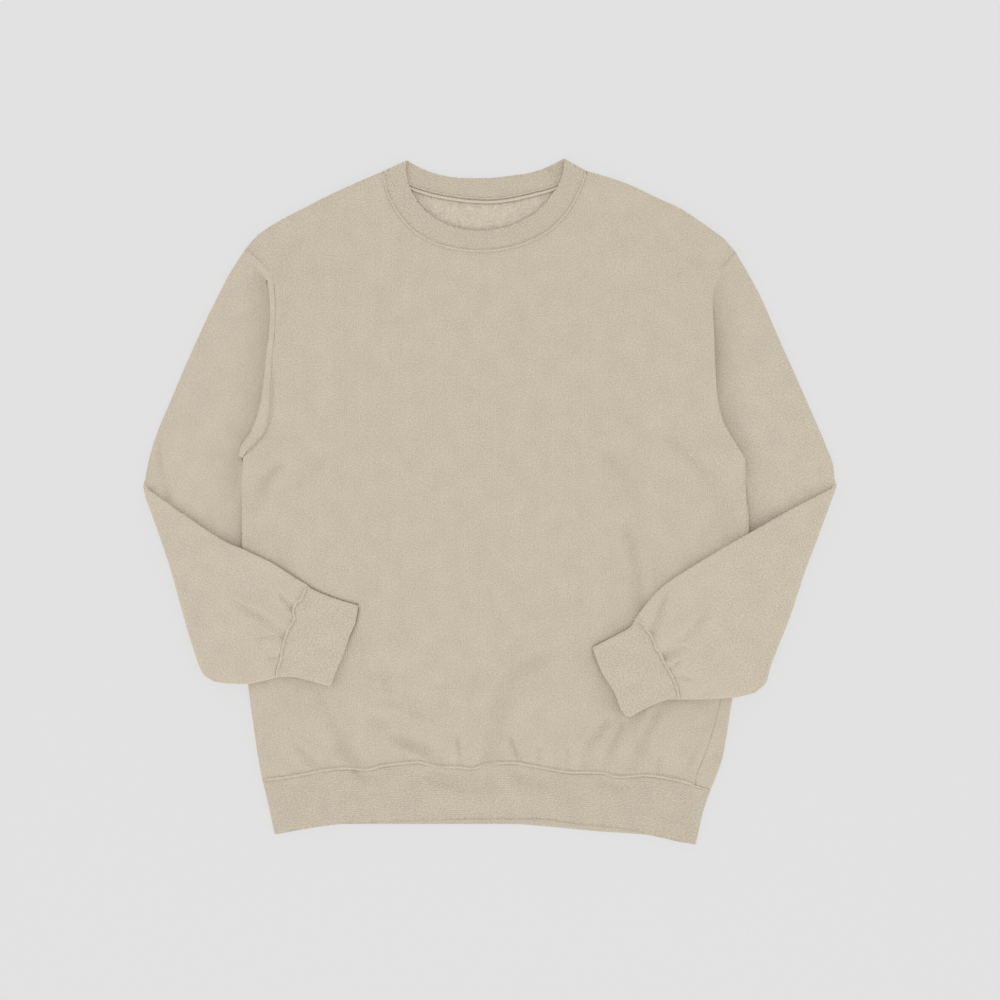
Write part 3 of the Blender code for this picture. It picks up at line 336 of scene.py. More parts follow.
def shell(outer, inner, closed, every=4):
    # a closed wall: a fine outer grid and a coarser inner one, joined round the border
    rows, columns = outer.shape[:2]
    i = np.arange(rows - 1)[:, None]
    j = np.arange(columns if closed else columns - 1)[None, :]
    k = (j + 1) % columns
    quads = np.stack(np.broadcast_arrays(
        i * columns + j, i * columns + k, (i + 1) * columns + k, (i + 1) * columns + j), axis=-1)
    faces = quads.reshape(-1, 4).tolist()
    start = rows * columns
    keepRows = coarseSteps(rows, every)
    keepColumns = list(range(0, columns, every)) if closed else coarseSteps(columns, every)
    wide = len(keepColumns)
    innerFaces = []
    for a in range(len(keepRows) - 1):
        for b in range(wide if closed else wide - 1):
            c = (b + 1) % wide
            innerFaces.append([start + a * wide + b, start + (a + 1) * wide + b,
                               start + (a + 1) * wide + c, start + a * wide + c])
    top = (rows - 1) * columns
    last = start + (len(keepRows) - 1) * wide
    if closed:
        low = list(range(columns)) + [0]
        loops = [(low, keepColumns + [columns], [start + b for b in range(wide)] + [start])]
        high = [top + c for c in low]
        loops.append((high[::-1], [columns - c for c in (keepColumns + [columns])[::-1]],
                      ([last + b for b in range(wide)] + [last])[::-1]))
    else:
        right = [i * columns + columns - 1 for i in range(rows)]
        left = [i * columns for i in range(rows)]
        loops = [
            (list(range(columns)), keepColumns, [start + b for b in range(wide)]),
            (right, keepRows, [start + a * wide + wide - 1 for a in range(len(keepRows))]),
            ([top + c for c in range(columns)][::-1], [columns - 1 - c for c in keepColumns[::-1]],
             [last + b for b in range(wide)][::-1]),
            (left[::-1], [rows - 1 - a for a in keepRows[::-1]],
             [start + a * wide for a in range(len(keepRows))][::-1])]
    for fine, places, ends in loops:
        for n in range(len(places) - 1):
            a, b = places[n], places[n + 1]
            middle = (a + b) // 2
            faces += [[fine[m + 1], fine[m], ends[n]] for m in range(a, middle)]
            faces.append([fine[middle], ends[n], ends[n + 1]])
            faces += [[fine[m + 1], fine[m], ends[n + 1]] for m in range(middle, b)]
    points = np.concatenate([outer.reshape(-1, 3), inner[keepRows][:, keepColumns].reshape(-1, 3)])
    return {"points": points, "faces": faces + innerFaces, "inside": len(innerFaces)}


endTurns = [math.radians(90.0 * k / 5) for k in range(6)]


def roundedEnd(outer, inner):
    # the last row becomes a rounded fold from the outer face to the inner one
    middle = (outer[-1] + inner[-1]) / 2.0
    before = (outer[-2] + inner[-2]) / 2.0
    way = unit(middle - before)
    half = (outer[-1] - inner[-1]) / 2.0
    radius = np.linalg.norm(half, axis=-1, keepdims=True)
    base = middle - way * radius
    outs = [base + way * radius * math.sin(a) + half * math.cos(a) for a in endTurns]
    ins = [base + way * radius * math.sin(a) - half * math.cos(a) for a in endTurns]
    outs[-1] = outs[-1] + half * 0.02
    ins[-1] = ins[-1] - half * 0.02
    return np.concatenate([outer[:-1], outs]), np.concatenate([inner[:-1], ins])


def makePiece(name, parts, materials, node=None):
    points = np.concatenate([part["points"] for part in parts])
    faces = []
    inside = []
    start = 0
    for part in parts:
        faces += [[k + start for k in face] for face in part["faces"]]
        insideCount = part.get("inside", 0)
        inside += [0] * (len(part["faces"]) - insideCount) + [1] * insideCount
        start += len(part["points"])
    shift = np.array([cloth["centreShift"][0], cloth["centreShift"][1], 0.0])
    mesh = bpy.data.meshes.new(name)
    mesh.from_pydata(((points + shift) * 0.001).tolist(), [], faces)
    mesh.validate()
    mesh.polygons.foreach_set("use_smooth", [True] * len(mesh.polygons))
    if all("cloth" in part for part in parts):
        flat = np.concatenate([part["cloth"] for part in parts])
        layer = mesh.uv_layers.new(name="cloth")
        corners = np.zeros(len(mesh.loops), dtype=np.int32)
        mesh.loops.foreach_get("vertex_index", corners)
        layer.data.foreach_set("uv", (flat[corners] * 0.001).ravel())
    for material in materials:
        mesh.materials.append(material)
    if len(materials) > 1:
        mesh.polygons.foreach_set("material_index", inside)
    mesh.update()
    piece = bpy.data.objects.new(name, mesh)
    bpy.context.scene.collection.objects.link(piece)
    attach(piece, "root")
    if node:
        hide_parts(node)
    print("made", name, len(mesh.polygons))
    return piece


def withCloth(part, outer, inner, flat, every=4, closed=False):
    # where each point lies on the flat cloth, for the knit's pattern
    rows, columns = outer.shape[:2]
    keepRows = coarseSteps(rows, every)
    keepColumns = list(range(0, columns, every)) if closed else coarseSteps(columns, every)
    part["cloth"] = np.concatenate([
        flat.reshape(-1, 2), flat[keepRows][:, keepColumns].reshape(-1, 2)])
    return part


# materials
def node(tree, kind, place, **values):
    made = tree.nodes.new(kind)
    made.location = place
    for key, value in values.items():
        if key in made.inputs:
            made.inputs[key].default_value = value
        else:
            setattr(made, key, value)
    return made


def knitMaterial(name, finish):
    material = bpy.data.materials.new(name)
    material.use_nodes = True
    tree = material.node_tree
    tree.nodes.clear()
    link = tree.links.new
    output = node(tree, "ShaderNodeOutputMaterial", (900, 0))
    shader = node(tree, "ShaderNodeBsdfPrincipled", (600, 0))
    shader.inputs["Roughness"].default_value = finish["roughness"]
    shader.inputs["Sheen Weight"].default_value = finish["sheen"]
    shader.inputs["Sheen Roughness"].default_value = finish["sheenRoughness"]
    shader.inputs["Sheen Tint"].default_value = finish["sheenTint"]
    shader.inputs["Specular IOR Level"].default_value = finish["gloss"]
    link(shader.outputs["BSDF"], output.inputs["Surface"])
    place = node(tree, "ShaderNodeUVMap", (-1500, 0), uv_map="cloth")

    def noiseAt(y, scale, stretch, detail, rough=0.55):
        mapping = node(tree, "ShaderNodeMapping", (-1250, y))
        mapping.inputs["Scale"].default_value = (scale * stretch[0], scale * stretch[1], 1.0)
        link(place.outputs["UV"], mapping.inputs["Vector"])
        noise = node(tree, "ShaderNodeTexNoise", (-1000, y))
        noise.inputs["Scale"].default_value = 1.0
        noise.inputs["Detail"].default_value = detail
        noise.inputs["Roughness"].default_value = rough
        link(mapping.outputs["Vector"], noise.inputs["Vector"])
        return noise.outputs["Fac"]

    nap = noiseAt(300, finish["napScale"], (1.0, 1.0), 3.0, 0.7)
    bands = []
    for direction, scale, y in (("X", finish["waleScale"], 0), ("Y", finish["courseScale"], -600)):
        band = node(tree, "ShaderNodeTexWave", (-1000, y), wave_type="BANDS", bands_direction=direction)
        band.inputs["Scale"].default_value = scale
        band.inputs["Distortion"].default_value = 2.5
        band.inputs["Detail"].default_value = 2.0
        band.inputs["Detail Scale"].default_value = 2.0
        link(place.outputs["UV"], band.inputs["Vector"])
        bands.append(band.outputs["Fac"])
    wale, course = bands
    patch = noiseAt(-300, finish["patchScale"], (1.0, 0.8), 3.0)

    def scaled(value, amount, y):
        # a noise turned into a factor round 1
        grade = node(tree, "ShaderNodeMapRange", (-760, y))
        grade.inputs["From Min"].default_value = 0.25
        grade.inputs["From Max"].default_value = 0.75
        grade.inputs["To Min"].default_value = 1.0 - amount
        grade.inputs["To Max"].default_value = 1.0 + amount
        link(value, grade.inputs["Value"])
        return grade.outputs["Result"]

    def times(a, b, y):
        product = node(tree, "ShaderNodeMath", (-540, y), operation="MULTIPLY")
        link(a, product.inputs[0])
        link(b, product.inputs[1])
        return product.outputs["Value"]

    shade = times(scaled(nap, finish["napShade"], 300), scaled(wale, finish["waleShade"], 60), 200)
    shade = times(shade, scaled(patch, finish["patchShade"], -200), 0)
    shade = times(shade, scaled(course, finish["courseShade"], -600), -100)
    tint = node(tree, "ShaderNodeMix", (-100, 200), data_type="RGBA", blend_type="MULTIPLY")
    tint.inputs[0].default_value = 1.0
    tint.inputs[6].default_value = (*finish["colour"], 1.0)
    grey = node(tree, "ShaderNodeCombineColor", (-320, 100))
    for channel in ("Red", "Green", "Blue"):
        link(shade, grey.inputs[channel])
    link(grey.outputs["Color"], tint.inputs[7])
    link(tint.outputs[2], shader.inputs["Base Color"])
    rise = node(tree, "ShaderNodeMath", (-320, -400), operation="MULTIPLY_ADD")
    rise.inputs[1].default_value = finish["waleRise"]
    link(wale, rise.inputs[0])
    link(nap, rise.inputs[2])
    relief = node(tree, "ShaderNodeBump", (200, -300))
    relief.inputs["Strength"].default_value = finish["reliefStrength"]
    relief.inputs["Distance"].default_value = finish["reliefDepth"]
    link(rise.outputs["Value"], relief.inputs["Height"])
    link(relief.outputs["Normal"], shader.inputs["Normal"])
    return material


fleeceFinish = {
    "colour": (0.584, 0.514, 0.408), "roughness": 0.96, "gloss": 0.18,
    "sheen": 1.0, "sheenRoughness": 0.33, "sheenTint": (1.0, 0.93, 0.82, 1.0),
    "napScale": 620.0, "napShade": 0.28, "waleScale": 128.0, "courseScale": 121.0,
    "waleShade": 0.02, "courseShade": 0.0, "patchScale": 46.0, "patchShade": 0.042, "waleRise": 0.25,
    "reliefStrength": 0.5, "reliefDepth": 0.0014,
}
insideFinish = dict(fleeceFinish, colour=(0.615, 0.543, 0.436), napScale=420.0, napShade=0.24,
                    waleShade=0.0, waleRise=0.0, patchScale=110.0, patchShade=0.10,
                    reliefStrength=0.6, reliefDepth=0.0016)
ribFinish = dict(fleeceFinish, colour=(0.552, 0.485, 0.386), sheen=0.6, napShade=0.33, patchShade=0.05,
                 napScale=620.0, waleShade=0.0, waleRise=0.0, courseShade=0.045,
                 reliefStrength=0.35, reliefDepth=0.0010)
# the collar: the hem's rib painted a little lighter, as painted light against its shade, with more nap grain
# and no course lines
collarFinishPaintedLighter = dict(ribFinish, colour=(0.558, 0.491, 0.391), napShade=0.36, patchShade=0.03, courseShade=0.0)
# the sleeves: the body's fleece painted a little lighter, as painted light, with less nap grain
sleeveFinishPaintedLighter = dict(fleeceFinish, colour=(0.594, 0.524, 0.418), napShade=0.235)
# the cuffs: the hem's rib painted lighter, as painted light, with fainter course lines
cuffFinishPaintedLighter = dict(ribFinish, colour=(0.572, 0.503, 0.400), courseShade=0.025)
# seam ridges and the neck tape: the fleece painted lighter, a painted highlight on the raised seams
ridgeFinishPaintedHighlight = dict(fleeceFinish, colour=(0.645, 0.569, 0.455), napShade=0.2, patchShade=0.0)
threadFinish = dict(fleeceFinish, colour=(0.52, 0.456, 0.362), sheen=0.0, napScale=3000.0,
                    waleShade=0.0, waleRise=0.0, patchShade=0.0, reliefStrength=0.15)
materials = {
    "fleece": knitMaterial("brushedFleece", fleeceFinish),
    "sleeve": knitMaterial("sleeveFleecePaintedLighter", sleeveFinishPaintedLighter),
    "inside": knitMaterial("fleeceInside", insideFinish),
    "rib": knitMaterial("ribKnit", ribFinish),
    "collar": knitMaterial("collarRibPaintedLighter", collarFinishPaintedLighter),
    "cuff": knitMaterial("cuffRibPaintedLighter", cuffFinishPaintedLighter),
    "ridge": knitMaterial("seamRidgePaintedHighlight", ridgeFinishPaintedHighlight),
    "thread": knitMaterial("sewingThread", threadFinish),
}
print("materials ready")

# the body's two panels
frontPanel = {
    "step": 2.2,
    "seamRise": 0.55, "seamRoll": 1.3,              # the cloth swells towards its seams
    "grooveDepth": 0.4, "grooveAt": 2.0, "grooveWidth": 0.7,
    "pucker": 0.45, "puckerReach": 13.0,
    "folds": [
        # from the right armpit down to the forearm
        foldRow(13.5, 6.6, (176, 90), (197, 77), (223, 55), (243, 30.5), (256, 7), (263, -14),
                (268, -38), open=0.7, skew=0.12, swell=0.2, start=0.5),
        foldRow(12, 5.6, (118, 72), (130, 55), (145, 35), (160, 9), (171, -15), skew=0.2),
        foldRow(9.5, 5.0, (146, -12), (152, -29), (160, -50), (167.5, -75), (171, -100), (174, -118),
                open=0.4),
        # from the left armpit
        foldRow(9.5, 6.0, (-226, 52), (-236, 42), (-250, 23), (-259, 0), (-264, -24), skew=-0.2),
        foldRow(13, 2.6, (-176, 66), (-196, 44), (-214, 12)),
        # belly
        foldRow(6, 1.4, (0, -66), (2, -100), (3, -134)),
        foldRow(12, 7.4, (98, -155), (74, -165), (52, -177), (31, -187), (17, -206), (8, -236),
                (2, -266), (-2, -294), open=0.9, skew=0.15),
        foldRow(8, 2.4, (24, -156), (22, -170), (27, -186)),
        foldRow(9, 2.2, (-3, -166), (-21, -219), (-29, -267)),
        foldRow(5, 3.6, (21, -258), (27, -276), (34, -294), open=0.6),
        foldRow(3.6, 2.6, (-38, -256), (-35, -277), (-32, -294), open=0.6),
        foldRow(8, 2.6, (-134, -180), (-122, -194), (-112, -208), (-60, -228)),
        foldRow(7.5, 3.4, (-128, -222), (-104, -226), (-84, -234), (-58, -246), skew=0.2),
        foldRow(10, 3.6, (-138, -238), (-124, -245), (-108, -254)),
        foldRow(9, 8.0, (-122, -259), (-105, -265.5), (-88, -271), (-72, -279), (-62, -288), (-57, -297),
                open=0.5, skew=0.2, start=0.4),
        # left of the belly
        foldRow(10, 4.4, (-200, -198), (-188, -216), (-178, -240), (-166, -264), (-146, -294), open=0.6,
                skew=0.1, start=0.6),
        foldRow(8.5, 5.6, (-174, -264), (-164, -278), (-150, -295), open=0.6),
        foldRow(7, 3.8, (-220, -269), (-208, -283), (-190, -300), open=0.5),
        foldRow(8, 2.2, (-158, -170), (-140, -186), (-124, -206)),
        # right of the belly
        foldRow(8, 4.8, (139, -234), (126, -254), (112, -272), (107, -294), open=0.6),
        foldRow(7.5, 4.2, (155, -236), (146, -254), (136, -274), (128, -292), open=0.5),
        foldRow(8, 4.8, (192, -222), (184, -238), (175, -257), (166, -278), (159, -298), open=0.8,
                start=0.5),
        foldRow(5, 2.4, (236, -262), (229, -282), (214, -304), open=0.5),
        # short gathers along the hem
        foldRow(4, 2.0, (56, -270), (54, -296), open=0.6),
        foldRow(4, 2.0, (88, -272), (86, -300), open=0.6),
        foldRow(4, 1.6, (-96, -276), (-98, -292), open=0.6),
        foldRow(4, 2.0, (190, -282), (188, -306), open=0.6),
    ],
}
roundSteps = np.radians(np.linspace(0.0, 90.0, 9))
nearSeam = [3.3, 3.9, 4.7, 5.8, 7.4, 9.4]
neckStart, neckEnd, neckTurn = 0.27, 0.71, 0.006
panelWidth, panelHeight, armpit = 540.0, 600.0, 0.6
hemLengths = lengthsOf(hemSeam)
hemEnd = float(hemLengths[-2] / hemLengths[-1])


def between(first, last, step):
    count = max(2, int(round((last - first) / step)))
    return list(np.linspace(first, last, count + 1)[1:-1])


def panelColumns(step):
    edge = [*(cloth["edgeRadius"] * (1.0 - np.cos(roundSteps))), *nearSeam]
    edge = [d / panelWidth for d in edge]
    turns = (0.0, 0.2, 0.4, 0.6, 0.8, 1.0, 1.25, 1.5, 1.8, 2.2, 2.7, 3.3, 4.0, 4.8)
    neck = [neckStart + neckTurn * q for q in turns]
    far = [neckEnd - neckTurn * q for q in turns[::-1]]
    wide = step / panelWidth
    return np.array(edge + between(edge[-1], neck[0], wide) + neck + between(neck[-1], far[0], wide)
                    + far + between(far[-1], 1.0 - edge[-1], wide) + [1.0 - e for e in edge[::-1]])


def panelLevels(step):
    # rows lie closest at the seams and on the creased belly
    hem = [d / panelHeight for d in (0.0, 0.4, 0.9, 1.4, 1.9, 2.3, 2.7, 3.1, 3.6, 4.3, 5.3, 6.8, 8.8)]
    top = [cloth["edgeRadius"] * (1.0 - math.cos(a)) / panelHeight for a in roundSteps]
    top += [d / panelHeight for d in nearSeam]
    tall = step / (panelHeight * 1.1)
    belly = between(hem[-1], 0.25, 0.72 * tall) + [0.25]
    chest = between(0.25, armpit, 1.25 * tall) + [armpit]
    upper = between(armpit, 1.0 - top[-1], 1.4 * tall)
    return np.array(hem + belly + chest + upper + [1.0 - d for d in top[::-1]])


def patch(bottom, top, left, right, u, v):
    # points inside four border lines; the side borders' shape fades out a quarter of the way in
    ends = np.array([0.0, 1.0])
    near = smooth(1.0 - u / 0.26)[..., None]
    far = smooth(1.0 - (1.0 - u) / 0.26)[..., None]
    vv = v[..., None]
    a = left(ends)
    b = right(ends)
    xy = (1 - vv) * bottom(u) + vv * top(u)
    xy = xy + near * (left(v) - (1 - vv) * a[0] - vv * a[1])
    return xy + far * (right(v) - (1 - vv) * b[0] - vv * b[1])


def joined(first, second, share):
    def at(t):
        low = first(np.clip(t / share, 0.0, 1.0))
        high = second(np.clip((t - share) / (1.0 - share), 0.0, 1.0))
        return np.where((t < share)[..., None], low, high)

    return at


def armholeEdge(side, face):
    def at(t):
        line = armholeLine(side, 1.0 - t)
        reach = np.zeros_like(t)
        if side == "right":
            radius = cloth["foldRadius"] + (0.5 if face == "front" else -0.5) * cloth["flatSleeve"]
            reach = radius * np.sin(np.radians(line["turn"]) / 2.0)
        out = unit(np.stack([line["outX"], line["outY"]], axis=-1))
        return np.stack([line["x"], line["y"]], axis=-1) + out * reach[..., None]

    return at


def panelBorders(face):
    neck = curve(neckFront if face == "front" else neckBack, neckSoftness)
    left = joined(curve(sideLeft), armholeEdge("left", face), armpit)
    rightSide = curve(sideSeam if face == "front" else sideRightUnder)
    right = joined(rightSide, armholeEdge("right", face), armpit)
    leftShoulder = shoulderLeft.copy()
    leftShoulder[0] = left(np.ones(1))[0]
    rightShoulder = shoulderRight.copy()
    rightShoulder[-1] = right(np.ones(1))[0]
    top = joined(joined(curve(leftShoulder), neck, neckStart / neckEnd), curve(rightShoulder), neckEnd)
    seam = curve(hemSeam if face == "front" else hemSeamUnder)
    end = hemEnd if face == "front" else 1.0
    return (lambda u: seam(u * end)), top, left, right


def panelPoints(face, inside, step):
    # one face of a panel: rounded where it turns to the other side
    u, v = np.meshgrid(panelColumns(step), panelLevels(step))
    inset = cloth["fleeceWall"] if inside else 0.0
    radius = cloth["edgeRadius"]
    borders = panelBorders(face)
    flatU = u.copy()
    flatV = v.copy()
    below = 1.0 - smooth((v - armpit + 0.016) / 0.02)
    belowRight = 1.0 - smooth((v - 0.505) / 0.02)
    rolls = smooth((v - 0.53) / 0.02)
    line = armholeLine("right", np.clip((1.0 - v) / (1.0 - armpit), 0.0, 1.0))
    halfway = rolls * np.radians(line["turn"]) / 2.0
    roll = 1.0 - np.cos(halfway) if face == "front" else np.zeros(u.shape)
    rollSide = np.sin(halfway) if face == "front" else np.zeros(u.shape)
    # left edge
    d = flatU * panelWidth
    cosine = np.clip(1.0 - d / radius, 0.0, 1.0)
    sine = np.sqrt(1.0 - cosine ** 2)
    u = u + below * inset * cosine / panelWidth
    riseSide = 1.0 - below * (1.0 - sine)
    # right edge
    d = (1.0 - flatU) * panelWidth
    cosine = np.clip(1.0 - d / radius, 0.0, 1.0)
    sine = np.sqrt(1.0 - cosine ** 2)
    riseRoll = sine
    if face == "front":
        fade = 1.0 - smooth((d - radius) / 12.0)
        rolled = (rollRadius - inset) * (1.0 - cosine) - np.minimum(d, radius)
        u = u - fade * (roll * rolled + rollSide * inset) / panelWidth
    else:
        u = u - belowRight * inset * cosine / panelWidth
        riseSide = np.minimum(riseSide, 1.0 - belowRight * (1.0 - sine))
    # shoulders
    onTop = np.maximum(1.0 - smooth((flatU - neckStart) / neckTurn),
                       1.0 - smooth((neckEnd - flatU) / neckTurn))
    d = (1.0 - flatV) * panelHeight
    cosine = np.clip(1.0 - d / radius, 0.0, 1.0)
    sine = np.sqrt(1.0 - cosine ** 2)
    v = v - onTop * inset * cosine / panelHeight
    riseTop = 1.0 - onTop * (1.0 - sine)
    gap = cloth["seamGap"] / panelWidth
    u = np.clip(u, gap * (1.0 - below), 1.0 - gap * (1.0 - roll))
    v = np.clip(v, gap, 1.0 - gap * (1.0 - onTop))
    xy = patch(*borders, u, v)
    x = xy[..., 0]
    y = xy[..., 1]
    tall = thickness(x, y)
    low = lift(x, y)
    turn = np.minimum(riseSide, riseTop)
    half = tall / 2.0 - inset
    if face == "front":
        z = low + tall / 2.0 + half * turn
        z = z - (rollRadius - inset) * roll * (1.0 - riseRoll)
    else:
        z = low + tall / 2.0 - half * turn
    return np.concatenate([xy, z[..., None]], axis=-1), turn


def seamRelief(grid, dims, turn):
    # swell and stitch groove beside the seams, then puckers above the hem
    step = np.linalg.norm(np.diff(grid[..., :2], axis=0), axis=-1)
    fromHem = np.concatenate([np.zeros((1, grid.shape[1])), np.cumsum(step, axis=0)])
    fromTop = fromHem[-1] - fromHem
    side = np.linalg.norm(np.diff(grid[..., :2], axis=1), axis=-1)
    fromLeft = np.concatenate([np.zeros((grid.shape[0], 1)), np.cumsum(side, axis=1)], axis=1)
    fromRight = fromLeft[:, -1:] - fromLeft
    u, v = np.meshgrid(panelColumns(dims["step"]), panelLevels(dims["step"]))
    overNeck = smooth((u - neckStart) / 0.008) * smooth((neckEnd - u) / 0.008)
    onArm = smooth((v - armpit - 0.004) / 0.01)
    onSide = smooth((armpit - 0.09 - v) / 0.02)
    rise = np.zeros(u.shape)
    y = grid[..., 1]
    hidden = smooth((y - hiddenSeam[0]) / 15.0) * smooth((hiddenSeam[1] - y) / 8.0)
    for d, where in ((fromHem, 1.0), (fromTop, 0.5 * overNeck), (fromLeft, onArm * (1.0 - hidden)),
                     (fromRight, onArm * 0.4)):
        seam = dims["seamRise"] * bump(d, dims["seamRoll"])
        seam = seam - dims["grooveDepth"] * bump(d - dims["grooveAt"], dims["grooveWidth"])
        rise = rise + seam * where
    rise = rise - 0.4 * bump(fromRight, 0.9) * onSide
    across = grid[..., 0]
    gather = waves(across, across * 0.3, 7.5, 11) * 0.6 + waves(across, across * 0.2 + 40, 3.7, 5) * 0.4
    rise = rise + dims["pucker"] * gather * np.exp(-fromHem / dims["puckerReach"]) * smooth(fromHem / 1.0)
    neckGather = waves(grid[..., 0], grid[..., 1], 9.0, 3)
    rise = rise + 0.12 * neckGather * np.exp(-fromTop / 10.0) * overNeck
    return rise * smooth(turn * 1.5 - 0.3)


def openBelly(xy):
    # 1 in the open, 0 under the folded forearms
    cover = np.zeros(xy.shape[:-1])
    for a, b in (((-340, -110), (-150, -165)), ((340, -110), (135, -190))):
        d, _ = distanceTo(xy, path(a, b))
        cover = np.maximum(cover, 1.0 - smooth((np.abs(d) - 40.0) / 30.0))
    return 1.0 - cover


def bodyFolds(xy, turn):
    # the body's folds, no deeper than its own height and the hollow beside the tucked arms allow,
    # and how far the back sinks along with them
    x = xy[..., 0]
    y = xy[..., 1]
    inset = np.minimum(insetFrom("left", x, y), insetFrom("right", x, y))
    armBelow = 5.4 - 4.9 * smooth((inset - 36.0) / 14.0) * smooth((y - 30.0) / 20.0)
    room = np.maximum(lift(x, y) - armBelow, 0.0) * smooth((y + 60.0) / 40.0)
    own = np.maximum(thickness(x, y) - cloth["fleeceWall"] - 1.1, 0.3)
    relief = creased(xy, frontPanel["folds"]) * turn
    deepest = own + room
    dip = deepest * np.tanh(np.maximum(-relief, 0.0) / deepest)
    return np.maximum(relief, 0.0) - dip, np.clip(dip - own, 0.0, room)


def makeFront():
    dims = frontPanel
    outer, turn = panelPoints("front", False, dims["step"])
    inner, _ = panelPoints("front", True, dims["step"])
    xy = outer[..., :2]
    relief, sunk = bodyFolds(xy, turn)
    calm = turn * (1.0 - 0.85 * smooth(-relief / 2.5))
    relief = relief + 0.28 * waves(xy[..., 0] + 300, xy[..., 1] + 400, 46.0, 21) * calm
    relief = relief + 0.10 * waves(xy[..., 0] + 300, xy[..., 1] + 400, 15.0, 22) * calm
    relief = np.where(relief > 0, relief * openBelly(xy), relief)
    fromHem = np.concatenate([np.zeros((1, xy.shape[1])),
                              np.cumsum(np.linalg.norm(np.diff(xy, axis=0), axis=-1), axis=0)])
    relief = relief * (0.35 + 0.65 * smooth(fromHem / 9.0))
    relief = relief - sunkBy("left", leftSleeve, xy) - sunkBy("right", rightSleeve, xy)
    backTop = lift(xy[..., 0], xy[..., 1]) + cloth["fleeceWall"] - sunk
    outer[..., 2] += relief + seamRelief(outer, dims, turn)
    inner[..., 2] += np.minimum(relief, 0.0)
    inner[..., 2] = np.where(turn > 0.9, np.maximum(inner[..., 2], backTop + 0.15), inner[..., 2])
    outer[..., 2] = np.where(turn > 0.9, np.maximum(outer[..., 2], backTop + 0.8), outer[..., 2])
    part = withCloth(shell(outer, inner, False), outer, inner, outer[..., :2])
    makePiece("front_panel", [part], [materials["fleece"], materials["inside"]], "front")
    return outer


backPanel = {"step": 4.2}


def makeBack():
    dims = backPanel
    outer, turn = panelPoints("back", False, dims["step"])
    inner, _ = panelPoints("back", True, dims["step"])
    fuzz = 0.22 * waves(inner[..., 0] + 300, inner[..., 1] + 300, 9.0, 31)
    inner[..., 2] += np.maximum(fuzz, -0.1) * smooth((inner[..., 1] - 240) / 30)
    away = (inner[..., :2] - np.array([-4.0, 318.0])) ** 2 / np.array([46.0, 11.0]) ** 2
    loft = np.exp(-away.sum(axis=-1))
    inner[..., 2] += 1.3 * loft
    _, sunk = bodyFolds(outer[..., :2], turn)
    outer[..., 2] -= sunk
    inner[..., 2] -= sunk
    main = withCloth(shell(outer, inner, False, 1), outer, inner, outer[..., :2], 1)
    # the strip that comes round the right edge to the side seam
    levels = panelLevels(dims["step"])
    levels = np.array(list(levels[levels < 0.516]) + [0.519])
    wraps = []
    for inside in (False, True):
        steps = [(a, 0.0) for a in np.linspace(0, 90, 9)] + [(90.0, q) for q in np.linspace(0.15, 1.0, 8)]
        wraps.append(np.stack([wrapPoints(a, q, inside, levels) for a, q in steps], axis=1))
    strip = withCloth(shell(wraps[0], wraps[1], False, 1), wraps[0], wraps[1], wraps[0][..., :2], 1)
    makePiece("back_panel", [main, strip], [materials["fleece"], materials["inside"]], "back")


def wrapPoints(angle, share, inside, levels):
    side = curve(sideRightUnder)(np.clip(levels / armpit, 0.0, 1.0))
    seam = curve(sideSeam)(np.clip(levels / armpit, 0.0, 1.0))
    inset = cloth["fleeceWall"] if inside else 0.0
    reach = np.maximum(np.linalg.norm(seam - side, axis=-1) - cloth["seamGap"], 0.7)
    radius = np.minimum(cloth["edgeRadius"], 0.9 * reach)
    sunk = np.minimum(inset, 0.8 * radius)
    into = sunk + (radius - sunk) * (1.0 - math.cos(math.radians(angle)))
    into = into + share * np.maximum(reach - radius, 0.02)
    xy = side + unit(seam - side) * into[:, None]
    rise = math.sin(math.radians(angle))
    tall = thickness(xy[:, 0], xy[:, 1])
    z = lift(xy[:, 0], xy[:, 1]) + tall / 2.0 + (tall / 2.0 - inset) * rise
    if not inside:
        z = z + 0.25 * bump(reach - into, 2.2) - 0.5 * bump(reach - into, 0.7)
    return np.concatenate([xy, z[:, None]], axis=-1)


# flattened tubes: sleeves, cuffs and the hem rib
tubeRound = np.radians(np.linspace(0.0, 90.0, 7))


def tubeProfile(width, half, wall, upper, under):
    # one turn round a flattened tube: distance across and height, outside and inside
    across = [[], []]
    heights = [[], []]
    for side, stations in ((1.0, upper), (-1.0, under)):
        for k, inset in enumerate((0.0, wall)):
            radius = half - inset
            near = inset + radius * (1.0 - np.cos(tubeRound))
            turn = np.sin(tubeRound)
            line = np.concatenate([near, np.array(stations) * width, width - near[::-1]])
            high = np.concatenate([turn, np.ones(len(stations)), turn[::-1]]) * radius
            if side < 0:
                line = line[::-1]
                high = high[::-1]
            across[k] += list(line[:-1])
            heights[k] += list(side * high[:-1])
    return np.array(across), np.array(heights)


def crossNormals(grid, sign):
    along = np.gradient(grid, axis=0, edge_order=2)
    across = np.gradient(grid, axis=1, edge_order=2)
    return unit(np.cross(along, across)) * sign


armFolds = {"arcSteps": 12, "upperRows": 84, "elbowSteps": 16, "foreRows": 60, "stations": 74,
            "fullness": 4.4, "pleatSpare": {"left": 9.9, "right": 6.3}}


